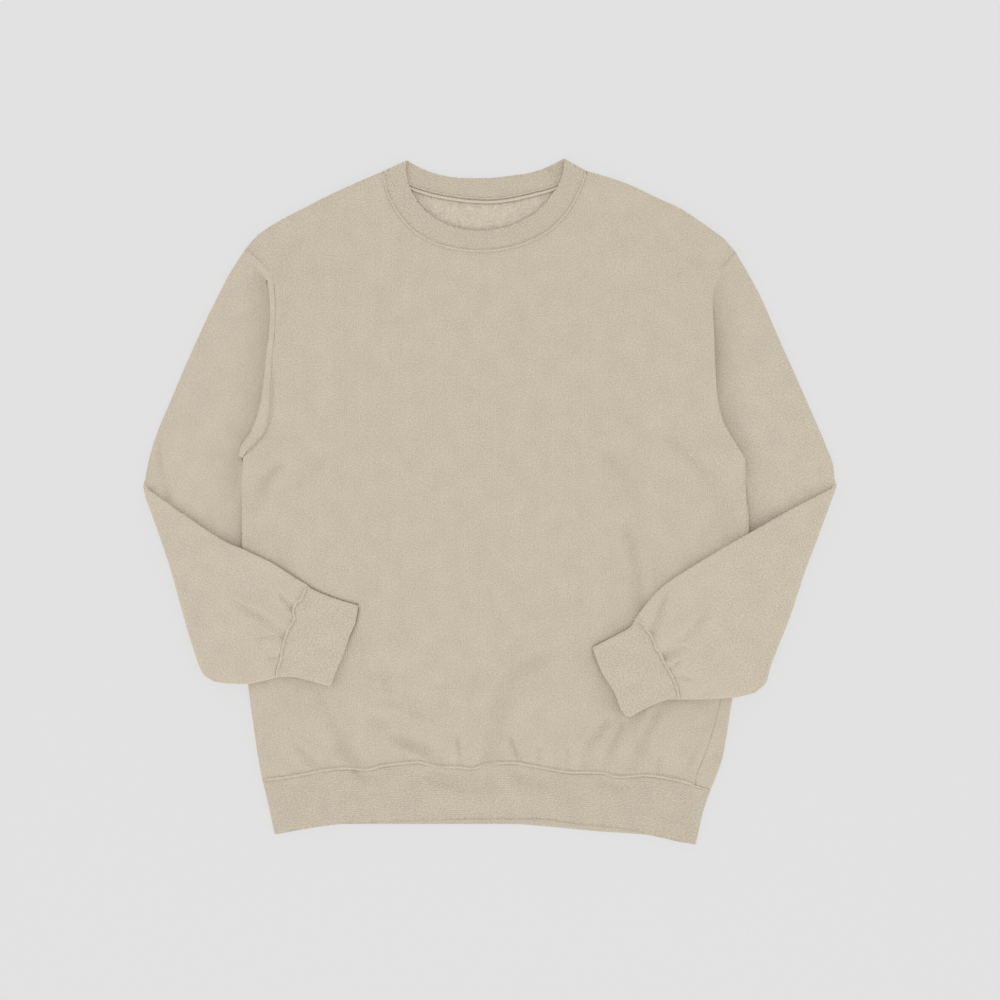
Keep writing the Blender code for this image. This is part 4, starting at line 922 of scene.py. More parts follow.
def pleatRows(side, w):
    # the arm's middle from its armhole seam, over the fold, under and out again
    radius = cloth["foldRadius"]
    line = armholeLine(side, w)
    angle = np.radians(line["turn"])
    drop = pleatDrop(line["turn"], line["tuck"])
    base = np.stack([line["x"], line["y"]], axis=-1)
    out = unit(np.stack([line["outX"], line["outY"]], axis=-1))
    spare = armFolds["pleatSpare"][side] * (1.0 - line["turn"] / 180.0)
    arc = armFolds["arcSteps"]
    steps = []
    first = 0
    if side == "left":
        steps += [(line["lead"] * q, 0.0 * angle) for q in (0.0, 0.1, 0.25, 0.4, 0.6, 0.8)]
    else:
        first = arc // 2
    for k in range(first, arc + 1):
        turned = angle * k / arc
        steps.append((line["lead"] + radius * np.sin(turned), -radius * (1.0 - np.cos(turned))))
    there = line["lead"] + radius * np.sin(angle) + line["tuck"] * np.cos(angle)
    down = -radius * (1.0 - np.cos(angle)) - line["tuck"] * np.sin(angle)
    for k in range(arc + 1):
        turned = angle * (1.0 - k / arc)
        across = radius * (np.sin(angle) - np.sin(turned))
        fallen = -radius * (np.cos(turned) - np.cos(angle))
        steps.append((there + across, down + fallen))
    rows = []
    for k, (dx, dz) in enumerate(steps):
        q = k / (len(steps) - 1)
        xy = base + out * (dx + cloth["seamGap"] + spare * q)[..., None]
        z = drop + cloth["flatSleeve"] / 2.0 + dz + cloth["bodyClear"] * (1.0 - q)
        rows.append(np.concatenate([xy, z[..., None]], axis=-1))
    return rows


def tilted(arm, xy):
    # how the cuff and the forearm lean: their upper and lower edges press into the body or stand off it
    upper = (arm["cuffTop"][0] + arm["cuffTop"][-1]) / 2.0
    lower = (arm["cuffBottom"][0] + arm["cuffBottom"][-1]) / 2.0
    share = np.clip(((xy - upper) @ (lower - upper)) / np.dot(lower - upper, lower - upper), 0.0, 1.0)
    fromSeam, _ = distanceTo(xy, path(arm["cuffSeam"][0], arm["cuffSeam"][-1]))
    fromSeam = fromSeam if arm["cuffEnd"][0][0] > arm["cuffSeam"][0][0] else -fromSeam
    high, low = (eased(fromSeam, (-30.0, 2.0, 55.0), heights) for heights in arm["stand"])
    return high * (1.0 - smooth(share)) + low * smooth(share)


def sunkBy(side, arm, xy):
    # the body's top under a cuff and forearm gives way to them
    top = np.concatenate([arm["forearmTop"][1:], arm["cuffTop"][1:]])
    inside, _ = distanceTo(xy, top)
    inside = -inside if side == "left" else inside
    end, _ = distanceTo(xy, arm["cuffEnd"])
    end = end if side == "left" else -end
    under = smooth((inside + 1.5) / 4.0) * smooth((60.0 - inside) / 30.0) * smooth((1.5 - end) / 4.0)
    return np.maximum(-tilted(arm, xy), 0.0) * under


def forearmFloor(side, xy):
    # what a folded forearm rests on: its own upper arm, then the body's front
    x = xy[..., 0]
    y = xy[..., 1]
    out = -insetFrom(side, x, y)
    climb = 1.0 - smooth((out - 2.0) / cloth["elbowReach"])
    low = 2.0 * cloth["foldRadius"]
    atEdge = np.interp(y, edges[side]["y"], edges[side]["x"])
    body = bodyTop(np.stack([np.where(out > 0, atEdge, x), y], axis=-1)) + cloth["cuffLift"]
    body = body + tilted(leftSleeve if side == "left" else rightSleeve, xy)
    return low + (body - low) * climb


def fourSided(start, end, railStart, railEnd, w, share):
    q = np.full(w.shape, share)
    wide = w[..., None]
    ends = np.array([0.0, 1.0])
    a = railStart(ends)
    b = railEnd(ends)
    xy = (1 - share) * start + share * end
    xy = xy + (1 - wide) * (railStart(q) - (1 - share) * a[0] - share * a[1])
    return xy + wide * (railEnd(q) - (1 - share) * b[0] - share * b[1])


def sleeveMiddle(side, arm, w):
    pleat = pleatRows(side, w)
    tips = pleatRows(side, np.array([0.0, 1.0]))[-1][..., :2]
    fold = curve(arm["fold"])
    direction = unit(arm["fold"][-1] - arm["fold"][0])
    inward = np.array([-direction[1], direction[0]])
    if inward[0] * arm["fold"][0][0] > 0:
        inward = -inward
    # the arm meets the fold askew, so it runs on along it while it rolls over
    elbow = fold(w) + inward * (cloth["foldRadius"] + cloth["flatSleeve"] / 2)
    slant = np.radians(arm["slant"][0] + (arm["slant"][1] - arm["slant"][0]) * w)
    run = direction * (math.pi * cloth["foldRadius"] / np.tan(slant) / 2.0)[:, None]
    arrives = elbow - run
    leaves = elbow + run
    railOuter = curve(np.concatenate([[tips[0]], arm["outer"], [arrives[0]]]))
    railUnder = curve(np.concatenate([[tips[1]], arm["underarm"], [arrives[-1]]]))
    flat = cloth["flatSleeve"] / 2.0
    rows = list(pleat)
    halves = [flat] * len(rows)
    facing = [None] * len(rows)
    count = armFolds["upperRows"]
    for k in range(1, count):
        xy = fourSided(pleat[-1][..., :2], arrives, railOuter, railUnder, w, k / count)
        rows.append(np.concatenate([xy, np.full(w.shape + (1,), flat)], axis=-1))
        halves.append(flat)
        facing.append((0.0, 0.0, 1.0))
    for k in range(armFolds["elbowSteps"] + 1):
        turned = math.pi * k / armFolds["elbowSteps"]
        xy = elbow + run * (2.0 * turned / math.pi - 1.0) - inward * cloth["foldRadius"] * math.sin(turned)
        z = flat + cloth["foldRadius"] * (1.0 - math.cos(turned))
        rows.append(np.concatenate([xy, np.full(w.shape + (1,), z)], axis=-1))
        halves.append(flat)
        facing.append((*(inward * math.sin(turned)), math.cos(turned)))
    seam = curve(arm["cuffSeam"])
    seamEnds = seam(np.array([0.0, 1.0]))
    railTop = curve(np.concatenate([[leaves[0]], arm["forearmTop"], [seamEnds[0]]]))
    railBottom = curve(np.concatenate([[leaves[-1]], arm["forearmBottom"], [seamEnds[1]]]))
    count = armFolds["foreRows"]
    shares = [k / count for k in range(1, count - 2)]
    shares += [1.0 - d / forearmLength for d in (6.0, 4.8, 3.9, 3.2, 2.6, 2.0, 1.4, 0.9, 0.45, 0.05)]
    for share in shares:
        xy = fourSided(leaves, seam(w), railTop, railBottom, w, share)
        half = (cloth["flatSleeve"] + (cloth["ribTube"] - cloth["flatSleeve"]) * float(smooth(share))) / 2.0
        z = forearmFloor(side, xy) + half
        rows.append(np.concatenate([xy, z[..., None]], axis=-1))
        halves.append(half)
        facing.append((0.0, 0.0, -1.0))
    return np.stack(rows), halves, shares, facing


leftSleeve = {
    "ways": ((-0.457, -0.889), (0.92, -0.39)),      # along the upper arm, along the forearm
    "slant": (30.0, 59.0),          # degrees between the arm's edges and the elbow's fold
    "outer": path(
        (-288.5, 260), (-302.5, 234), (-322, 194), (-340, 154), (-357, 114), (-374, 73), (-382, 46)),
    "underarm": path((-250, 8), (-236, -30), (-226, -70), (-226, -112), (-252, -150)),
    "fold": path((-388, 18), (-386, 6), (-381, -7), (-376.5, -20), (-371.5, -34), (-358, -74),
                 (-343, -128), (-327, -180), (-322, -191), (-316, -198), (-308, -201.5)),
    "forearmTop": path((-342, -14.5), (-291, -47), (-277, -52.5), (-261, -60), (-245, -67.5), (-218, -84.5)),
    "forearmBottom": path((-294, -203.2), (-274, -203.8), (-254, -200.5)),
    "cuffSeam": path(
        (-205, -92), (-207, -100), (-211, -109), (-218, -115), (-220, -122), (-218, -129), (-225, -142),
        (-229, -153), (-232, -166), (-234, -179), (-237, -185), (-238, -196)),
    "cuffTop": path((-205, -92), (-201, -96), (-189, -102), (-174, -108), (-161, -112), (-147, -116)),
    "cuffBottom": path((-238, -196), (-224, -195.5), (-212, -197.3), (-199, -200.5), (-178, -206.5)),
    "cuffEnd": path(
        (-147, -116), (-150, -134), (-157, -151), (-161, -163), (-165, -175), (-170, -185), (-178, -207)),
    "folds": [
        foldRow(6.5, 2.4, (-290, -108), (-264, -123), (-248, -133), (-237, -142), (-229, -151), open=0.8,
                skew=-0.2, swell=0.7),
        foldRow(3.4, 1.8, (-264, -155), (-248, -151), (-232, -151), open=0.6),
        foldRow(4.2, 2.4, (-238, -98), (-229, -109), (-221, -119), open=0.8, swell=0.5),
        foldRow(9, 1.8, (-258, -92), (-248, -100), (-236, -112), (-228, -122), swell=0.5),
        foldRow(3.5, 1.6, (-250, -176), (-240, -174), (-233, -172), open=0.6),
    ],
    "upperFolds": [foldRow(6, 2.6, (-371, 76), (-368, 50), (-364, 26), (-361, 4), swell=0.4, open=0.8)],
    # how high the upper and lower edges stand off the body: up the forearm, at the cuff's seam, at its end
    "stand": ((-2.0, -5.2, -5.0), (0.0, 0.3, -0.8)),
}
rightSleeve = {
    "ways": ((0.46, -0.888), (-0.91, -0.415)),
    "slant": (34.0, 46.5),
    "outer": path((300, 235), (324, 181), (342, 141), (360, 100), (377, 60), (385, 36)),
    "underarm": path((255, 8), (241, -30), (229, -70), (229, -112), (254, -152)),
    "fold": path((388, 18), (383.5, 5), (374, -21), (364.5, -47), (354, -74), (336, -128), (320, -169),
                 (312.5, -190), (310, -200.5), (304, -208.5), (296, -213.5)),
    "forearmTop": path(
        (336, -9), (290, -35), (252, -56.5), (221, -75.5), (201, -88.5), (187, -100), (175, -113.5)),
    "forearmBottom": path((284, -216.8), (272, -219), (235, -221.3)),
    "cuffSeam": path(
        (162, -131), (168, -134), (174, -141), (179, -148), (183, -156), (185, -163), (190, -169),
        (194, -178), (199, -187), (204, -196), (207, -203), (210, -211), (211, -221)),
    "cuffTop": path((162, -131), (158, -139), (143, -148), (114, -163)),
    "cuffBottom": path((211, -221), (203, -220.8), (193, -222.6), (180, -227.6), (167, -234), (155, -240.5)),
    "cuffEnd": path((114, -163), (124, -189), (138, -212), (148, -235), (155, -241)),
    "folds": [
        foldRow(6.5, 2.8, (203, -94), (196, -108), (189, -126), (182, -146), open=0.8, skew=0.2,
                swell=0.8),
        foldRow(7.5, 2.4, (245, -108), (237, -128), (224, -146), (208, -160), (194, -170), open=0.8,
                swell=0.7),
        foldRow(4.8, 2.0, (226, -160), (208, -168), (194, -175), open=0.8, swell=0.5),
        foldRow(3.6, 1.8, (216, -174), (207, -181), (199, -188), open=0.8, swell=0.5),
        foldRow(3.4, 1.8, (226, -200), (216, -196), (206, -196), open=0.6),
        foldRow(9, 2.0, (282, -88), (290, -104), (298, -120)),
    ],
    "upperFolds": [foldRow(6, 1.0, (369, 62), (371, 46), (372, 30))],
    "stand": ((-0.1, -0.5, -2.3), (0.0, 0.5, 2.8)),
}


def armFullness(side, arm, xy):
    # the upper arm's loft, pressed flat by the body, by the forearm and at its own edge
    forearm = curve(np.concatenate([arm["fold"][:1], arm["forearmTop"]]))(np.linspace(0.0, 1.0, 12))
    above, _ = distanceTo(xy, forearm)
    edge, _ = distanceTo(xy, curve(arm["outer"])(np.linspace(0.0, 1.0, 12)))
    above = above if side == "left" else -above
    y = xy[:, 1]
    armhole = armholeLeft if side == "left" else armholeRight
    leads = armhole["lead"] + rollRadius * np.sin(np.radians(armhole["turn"]) / 2.0)
    lead = np.interp(-y, -armhole["y"], leads)
    clear = -insetFrom(side, xy[:, 0], y) - np.where(y > 47.0, lead, 0.0)
    loose = 0.6 if side == "left" else 1.8
    low = np.where(y > 47.0, loose, loose * (0.6 + 0.4 * smooth((y + 20.0) / 60.0)))
    low = low * smooth((250.0 - y) / 60.0)
    under = eased(y, overArm["y"], overArm["height"]) - cloth["flatSleeve"] - 0.4
    touching = np.clip(np.where(y > 47.0, 0.8, under - low), 0.0, 4.0) * bump(clear + 1.5, 3.0)
    body = (low + touching) * smooth(1.0 + clear / 5.0)
    body = body + (armFolds["fullness"] - low) * smooth((clear - (7.0 if side == "left" else 4.0)) / 34.0)
    return body * smooth(above / 24.0) * smooth(np.abs(edge) / 34.0)


def makeSleeve(side, arm):
    sign = 1.0 if side == "left" else -1.0
    fine = np.linspace(0.0, 1.0, 241)
    middle, halves, shares, facing = sleeveMiddle(side, arm, fine)
    widths = np.linalg.norm(np.diff(middle, axis=1), axis=-1).sum(axis=1)
    normals = crossNormals(middle, sign)
    stations = 0.5 - 0.5 * np.cos(np.linspace(0.0, 1.0, armFolds["stations"]) * (np.pi - 0.94) + 0.47)
    faces = [[], []]
    flats = []
    firstForearm = len(halves) - len(shares)
    firstUpper = facing.count(None)
    for i, (half, width) in enumerate(zip(halves, widths)):
        across, heights = tubeProfile(width, half, cloth["fleeceWall"], stations, stations)
        for k in range(2):
            w = across[k] / width
            point = np.stack([np.interp(w, fine, middle[i, :, c]) for c in range(3)], axis=-1)
            normal = unit(np.stack([np.interp(w, fine, normals[i, :, c]) for c in range(3)], axis=-1))
            if facing[i]:
                level = float(smooth((i - firstUpper) / 8.0))
                normal = unit(normal * (1.0 - level) + np.array(facing[i]) * level)
            placed = point + normal * heights[k][:, None]
            if i >= firstForearm:
                share = shares[i - firstForearm]
                face = np.clip(-heights[k] / half, 0.0, 1.0)
                relief = creased(placed[:, :2], arm["folds"])
                relief = relief + 0.3 * waves(placed[:, 0] + 500, placed[:, 1] + 500, 30.0, 41)
                if k == 0:
                    d = (1.0 - share) * forearmLength
                    relief = relief + frontPanel["seamRise"] * bump(d, 1.3)
                    relief = relief - frontPanel["grooveDepth"] * bump(d - 2.0, 0.75)
                    s = w * 120.0
                    gather = waves(s, s * 0.2, 8.0, 51) * 0.6 + waves(s, s * 0.3, 4.2, 52) * 0.4
                    relief = relief + 0.6 * gather * math.exp(-d / 12.0) * float(smooth(d / 1.0))
                placed[:, 2] += relief * face
            else:
                face = np.clip(heights[k] / half, 0.0, 1.0)
                relief = 0.22 * waves(placed[:, 0] + 500, placed[:, 1] + 500, 34.0, 42)
                if i < firstForearm - armFolds["elbowSteps"]:
                    relief = relief + armFullness(side, arm, placed[:, :2])
                relief = relief + creased(placed[:, :2], arm["upperFolds"])
                out = smooth((i - 20) / 14.0)
                placed[:, 2] += relief * face * out
            faces[k].append(placed)
        way = arm["ways"][0] if i < firstForearm - armFolds["elbowSteps"] // 2 else arm["ways"][1]
        flats.append(faces[0][-1][:, :2] @ np.array([[way[1], way[0]], [-way[0], way[1]]]))
    outer = np.stack(faces[0])
    inner = np.stack(faces[1])
    part = withCloth(shell(outer, inner, True), outer, inner, np.stack(flats), closed=True)
    makePiece("sleeve_" + side + "_arm", [part], [materials["sleeve"], materials["inside"]],
              "sleeve_" + side)
    return outer


ribKnit = {"pitch": 2.1, "rise": 0.18, "perRib": 4}


def tubeLines(seam, edge, sideA, sideB):
    one, two, railA, railB = curve(seam), curve(edge), curve(sideA), curve(sideB)

    def line(share):
        return lambda t: fourSided(one(t), two(t), railA, railB, t, share)

    return line


def ribShares(length, seamRows=(0.0, 0.45, 0.9, 1.4, 1.9, 2.4, 2.9, 3.5, 4.4), step=3.0):
    rows = [d / length for d in seamRows]
    return rows + between(rows[-1], 1.0 - 2.4 / length, step / length) + [1.0 - 2.4 / length, 1.0]


def ribTube(upperLine, underLine, width, length, floor, top, hollow=0.0):
    # a doubled rib tube lying flat, from its seam to its folded edge, ribs standing along it
    half = cloth["ribTube"] / 2.0
    wall = cloth["ribWall"]
    count = int(width / ribKnit["pitch"]) * ribKnit["perRib"]
    stations = np.linspace(0.0, 1.0, count + 2)[1:-1]
    stations = stations * (1.0 - 2.2 * half / width) + 1.1 * half / width
    faces = [[], []]
    flats = []
    extra = []
    for share in ribShares(length):
        upper = upperLine(share)
        under = underLine(share)
        wide = lengthsOf(upper(np.linspace(0, 1, 60)))[-1]
        across, heights = tubeProfile(wide, half, wall, stations, stations)
        for k in range(2):
            inset = wall * k
            w = across[k] / wide
            which = np.clip(0.5 + 0.5 * np.sign(heights[k]), 0.0, 1.0)[:, None]
            xy = upper(w) * which + under(w) * (1.0 - which)
            low = floor(xy)
            high = top(xy)
            rise = heights[k] / (half - inset)
            z = (low + high) / 2.0 + rise * ((high - low) / 2.0 - inset)
            if k == 0:
                d = share * length
                rib = 0.5 * np.cos(2 * np.pi * w * round(width / ribKnit["pitch"])) - 0.5
                rib = rib * ribKnit["rise"] * (0.35 + 0.65 * float(smooth((d - 2.0) / 6.0)))
                soft = 0.5 * waves(w * width + 40, d + 300 * which[:, 0], 19.0, 61)
                seam = 0.5 * bump(d, 1.1) - 0.5 * bump(d - 2.0, 0.75)
                seam = seam - hollow * bump(d - 14.0, 11.0) * smooth((d - 2.0) / 6.0)
                z = z + soft * np.where(rise > 0, rise, 0.0)
                extra.append(seam * np.where(rise > 0, rise, 0.0) + rib * rise)
            faces[k].append(np.concatenate([xy, z[:, None]], axis=-1))
        flats.append(np.stack([across[0], np.full(len(w), share * length)], axis=-1))
    return finishedBand(np.stack(faces[0]), np.stack(faces[1]), np.stack(extra), np.stack(flats))


def finishedBand(outer, inner, extra, flats):
    # a doubled band's folded edge, then its ribs
    outer, inner = roundedEnd(outer, inner)
    more = len(outer) - len(flats)
    fades = np.array([math.cos(a) for a in endTurns[1:]])[:, None]
    outer[..., 2] += np.concatenate([extra, extra[-1:] * fades])
    return outer, inner, np.concatenate([flats, np.repeat(flats[-1:], more, axis=0)])


def makeHemRib():
    shift = np.array([0.0, -cloth["seamGap"]])
    dips = [
        foldRow(12, 4.2, (-78, -300), (-52, -311), (-22, -316), (14, -315), start=0.15),
        foldRow(9, 2.8, (-154, -297), (-142, -307), (-130, -314), start=0.1),
        foldRow(11, 2.4, (14, -298), (48, -313), (84, -320)),
        foldRow(10, 2.0, (110, -304), (138, -316), (168, -320)),
        foldRow(17, 2.2, (176, -326), (196, -346), (218, -370), open=0.5),
        foldRow(7, 1.6, (-6, -292), (0, -306), (10, -318), open=0.3),
    ]
    upper = tubeLines(hemSeam + shift, hemEdgeFront, hemLeft + shift, hemRight + shift)
    under = tubeLines(hemSeamUnder + shift, hemEdgeBack, hemLeft + shift, hemRight + shift)
    outer, inner, flat = ribTube(upper, under, 500.0, 62.0, lambda xy: np.zeros(len(xy)),
                                 lambda xy: thickness(xy[..., 0], xy[..., 1]), hollow=1.0)
    dip = creased(outer[..., :2], dips) * smooth((outer[..., 2] - 4.0) / 2.0)
    outer[..., 2] += dip
    part = withCloth(shell(outer, inner, True, 6), outer, inner, flat, 6, True)
    makePiece("hem_band", [part], [materials["rib"]], "hem_rib")
    return outer


def makeCuff(side, arm):
    shift = unit(arm["cuffEnd"].mean(axis=0) - arm["cuffSeam"].mean(axis=0)) * cloth["seamGap"]
    line = tubeLines(
        arm["cuffSeam"] + shift, arm["cuffEnd"], arm["cuffTop"] + shift, arm["cuffBottom"] + shift)
    outer, inner, flat = ribTube(line, line, 105.0, 60.0, lambda xy: forearmFloor(side, xy),
                                 lambda xy: forearmFloor(side, xy) + cloth["ribTube"])
    part = withCloth(shell(outer, inner, True, 4), outer, inner, flat, 4, True)
    makePiece("cuff_" + side + "_band", [part], [materials["cuff"]], "cuff_" + side)
    return outer


def makeCollar():
    # a doubled band, its front half over its back half, folded at both shoulders
    half = cloth["ribTube"] / 2.0
    wall = cloth["ribWall"]
    pitch, ribRise = 2.6, 0.3
    count = int(430.0 / pitch) * ribKnit["perRib"]
    stations = np.linspace(0.0, 1.0, count + 2)[1:-1] * 0.976 + 0.012
    halves = ((1.0, neckFront, collarEdgeFront), (-1.0, neckBack, collarEdgeBack))
    faces = [[], []]
    flats = []
    extra = []
    length = 25.0
    shares = ribShares(length, step=2.0)
    for share in shares:
        for level in range(2):
            ribs = []
            inset = wall * level
            points = []
            places = []
            for side, seam, edge in halves:
                one = curve(seam, neckSoftness)
                two = curve(edge, neckSoftness)
                span = lengthsOf(seam)[-1]
                near = (inset + (half - inset) * (1.0 - np.cos(tubeRound))) / span
                t = np.concatenate([near, stations, 1.0 - near[::-1]])
                turn = np.sin(tubeRound)
                rise = np.concatenate([turn, np.ones(len(stations)), turn[::-1]])
                xy = one(t) * (1.0 - share) + two(t) * share
                xy = xy + unit(two(t) - one(t)) * cloth["seamGap"] * (1.0 - share)
                d = share * length
                rib = (0.5 * np.cos(2 * np.pi * t * round(span / pitch)) - 0.5) * ribRise
                rib = rib * (0.4 + 0.6 * float(smooth((d - 1.5) / 4.0))) * rise
                if side > 0:
                    low = (cloth["ribTube"] - 1.2 * np.sin(np.pi * t)) * share
                    top = bodyTop(xy) * (1.0 - share) + low
                    z = half + (top - half - inset) * rise
                    z = z + 0.8 * math.sin(math.pi * share) * rise
                    rib = rib + (0.5 * bump(d, 1.1) - 0.5 * bump(d - 2.0, 0.75)) * rise
                else:
                    z = half - (half - inset) * rise
                    if level:
                        hollow = smooth((t - 0.865) / 0.03) * smooth((0.99 - t) / 0.03)
                        z = z + rib - 1.4 * hollow * smooth((share - 0.1) / 0.5)
                    rib = rib * 0.0
                point = np.concatenate([xy, z[:, None]], axis=-1)
                points.append(point[:-1] if side > 0 else point[::-1][:-1])
                ribs.append(rib[:-1] if side > 0 else rib[::-1][:-1])
                place = np.stack([t * span, np.full(len(t), d)], axis=-1)
                places.append(place[:-1] if side > 0 else place[::-1][:-1])
            faces[level].append(np.concatenate(points))
            if level == 0:
                extra.append(np.concatenate(ribs))
        flats.append(np.concatenate(places))
    outer, inner, flat = finishedBand(
        np.stack(faces[0]), np.stack(faces[1]), np.stack(extra), np.stack(flats))
    part = withCloth(shell(outer, inner, True, 1), outer, inner, flat, 1, True)
    makePiece("collar_band", [part], [materials["collar"]], "collar")
    return outer


# sewing
sewing = {"ridge": 0.62, "ridgeLift": 0.45, "stitch": 2.3, "gap": 0.7, "thread": 0.22, "sunk": 0.12}


def tube(line, radius, sides=6, closed=False, squash=1.0):
    # a thin tube along a line of points
    n = len(line)
    if closed:
        way = unit(np.roll(line, -1, axis=0) - np.roll(line, 1, axis=0))
    else:
        way = unit(np.gradient(line, axis=0))
    up = np.array([0.0, 0.0, 1.0])
    across = unit(np.cross(way, up))
    over = unit(np.cross(across, way))
    rings = []
    for k in range(sides):
        a = 2 * math.pi * k / sides
        spoke = across * math.cos(a) + over * math.sin(a) * squash
        rings.append(line + spoke * np.reshape(radius, (-1, 1)))
    grid = np.stack(rings, axis=1)
    faces = []
    for i in range(n if closed else n - 1):
        h = (i + 1) % n
        for k in range(sides):
            m = (k + 1) % sides
            faces.append([i * sides + k, i * sides + m, h * sides + m, h * sides + k][::-1])
    if not closed:
        faces.append(list(range(sides)))
        faces.append([(n - 1) * sides + k for k in range(sides)][::-1])
    points = grid.reshape(-1, 3)
    return {"points": points, "faces": faces, "cloth": points[:, :2] + points[:, 2:] * 0.5}


def resampled(line, step):
    reach = lengthsOf(line)
    count = max(2, int(round(reach[-1] / step)))
    s = np.linspace(0.0, reach[-1], count + 1)
    return np.stack([np.interp(s, reach, line[:, c]) for c in range(3)], axis=-1)


def stitchRow(line):
    # one short thread after another, each dipping into the cloth at its ends
    pitch = sewing["stitch"] + sewing["gap"]
    line = resampled(line, pitch)
    parts = []
    for a, b in zip(line[:-1], line[1:]):
        way = b - a
        points = np.stack([a + way * (0.5 + (q - 0.5) * sewing["stitch"] / pitch)
                           for q in (0.0, 0.25, 0.5, 0.75, 1.0)])
        points[:, 2] += np.array([-0.25, 0.05, 0.14, 0.05, -0.25]) - sewing["sunk"]
        radius = sewing["thread"] * np.array([0.45, 0.95, 1.0, 0.95, 0.45])
        parts.append(tube(points, radius, 5))
    return parts


def makeSewing(front, collar, hem, sleeves, cuffs):
    columns = panelColumns(frontPanel["step"])
    levels = panelLevels(frontPanel["step"])
    neck = (columns > neckStart + 0.004) & (columns < neckEnd - 0.004)
    seams = {}
    # neckline: the rolled ridge, one row of stitches on the body and one on the rib
    border = front[-1][neck]
    ridge = border.copy()
    ridge[:, 2] += sewing["ridgeLift"]
    body = rowAt(front[::-1], frontPanel["grooveAt"])[neck]
    count = collar.shape[1] // 2
    rib = rowAt(collar, 2.0)[8:count - 8]
    seams["neck_seam"] = ("ridge", [tube(resampled(ridge, 1.6), sewing["ridge"], 8, squash=0.8)])
    seams["neck_stitching"] = ("thread", stitchRow(body) + stitchRow(rib))
    # hem
    inside = (columns > 0.006) & (columns < 0.997)
    ridge = front[0][inside].copy()
    ridge[:, 2] += sewing["ridgeLift"]
    body = rowAt(front, frontPanel["grooveAt"])[inside]
    count = hem.shape[1] // 2
    rib = rowAt(hem, 2.0)[6:count - 8]
    seams["hem_seam"] = ("ridge", [tube(resampled(ridge, 1.6), sewing["ridge"], 8, squash=0.8)])
    seams["hem_stitching"] = ("thread", stitchRow(body) + stitchRow(rib))
    # cuffs: the ridge goes all round
    for side in ("left", "right"):
        cuff = cuffs[side]
        ring = cuff[0].copy()
        ring[:, 2] += np.sign(ring[:, 2] - ring[:, 2].mean()) * sewing["ridgeLift"]
        ring = resampled(np.concatenate([ring, ring[:1]]), 1.6)[:-1]
        seams["cuff_seam_" + side] = ("ridge", [tube(ring, sewing["ridge"], 8, True)])
        count = cuff.shape[1] // 2
        rib = rowAt(cuff, 2.0)[6:count - 6]
        arm = sleeves[side]
        ring = rowAt(arm[::-1], 2.0)
        count = arm.shape[1] // 2
        body = ring[count + 5:-5]
        seams["cuff_stitching_" + side] = ("thread", stitchRow(rib) + stitchRow(body))
    # armholes: on the body side only, and not where the fold hides the seam
    for side in ("left", "right"):
        line = armholeLine(side, (1.0 - levels) / (1.0 - armpit))
        above = (levels > armpit + 0.006) & (line["y"] < seamShows[side])
        above = above if above.any() else levels > 1.0 - 0.13 * (1.0 - armpit)
        column = front[:, 0] if side == "left" else front[:, -1]
        ridge = column[above].copy()
        ridge[:, 2] += sewing["ridgeLift"] * 0.6
        grid = front.transpose(1, 0, 2) if side == "left" else front.transpose(1, 0, 2)[::-1]
        body = rowAt(grid, frontPanel["grooveAt"])[above]
        rolled = tube(resampled(ridge, 1.8), sewing["ridge"] * 0.6, 8, squash=0.7)
        seams["armhole_seam_" + side] = ("fleece", [rolled])
        seams["armhole_stitching_" + side] = ("thread", stitchRow(body))
    for name, (finish, parts) in seams.items():
        makePiece(name, parts, [materials[finish]])


def rowAt(grid, distance):
    # the line at a distance from the grid's first row
    step = np.linalg.norm(np.diff(grid[:14], axis=0), axis=-1)
    reach = np.concatenate([np.zeros((1, grid.shape[1])), np.cumsum(step, axis=0)])
    rows = np.zeros((grid.shape[1], 3))
    for j in range(grid.shape[1]):
        for c in range(3):
            rows[j, c] = np.interp(distance, reach[:, j], grid[:14, j, c])
    return rows


def makeNeckTape():
    # inside the back neck: the seam's ridge and topstitching on the rib, the overlocked edge below
    seam = curve(neckBack, neckSoftness)

    def along(ends, shift, z):
        line = seam(np.linspace(*ends, 260)) + np.array([0.0, shift])
        return np.concatenate([line, np.full((len(line), 1), z)], axis=-1)

    ridge = tube(along((0.07, 0.93), 1.6, 3.9), 0.6, 8)
    band = tube(along((0.06, 0.94), -2.2, 3.3), 1.7, 10, squash=0.5)
    middle = resampled(along((0.06, 0.94), -4.1, 3.3), 0.8)
    middle[:, 1] += np.where(np.arange(len(middle)) % 2 == 0, 0.7, -0.7)
    thread = tube(middle, 0.24, 5)
    topstitch = stitchRow(along((0.05, 0.95), -0.2, 4.0))
    join = collarEdgeBack[8:9] * 0.9 + neckBack[9:10] * 0.1
    join = np.concatenate([join, neckBack[9:10] * 0.85 + collarEdgeBack[8:9] * 0.15]) + np.array([3.5, 0.0])
    join = np.concatenate([join, np.full((2, 1), 3.5)], axis=-1)
    # the ridge and the tape take the seam-ridge finish, painted lighter as a painted highlight
    makePiece("neck_ridge", [ridge, tube(resampled(join, 2.0), 0.6, 8)], [materials["ridge"]])
    makePiece("neck_tape", [band], [materials["ridge"]])
    makePiece("neck_tape_thread", [thread, *topstitch], [materials["thread"]])


front = makeFront()
makeBack()
sleeves = {"left": makeSleeve("left", leftSleeve), "right": makeSleeve("right", rightSleeve)}
collar = makeCollar()
cuffs = {"left": makeCuff("left", leftSleeve), "right": makeCuff("right", rightSleeve)}
hem = makeHemRib()
makeSewing(front, collar, hem, sleeves, cuffs)
makeNeckTape()
print("garment made")

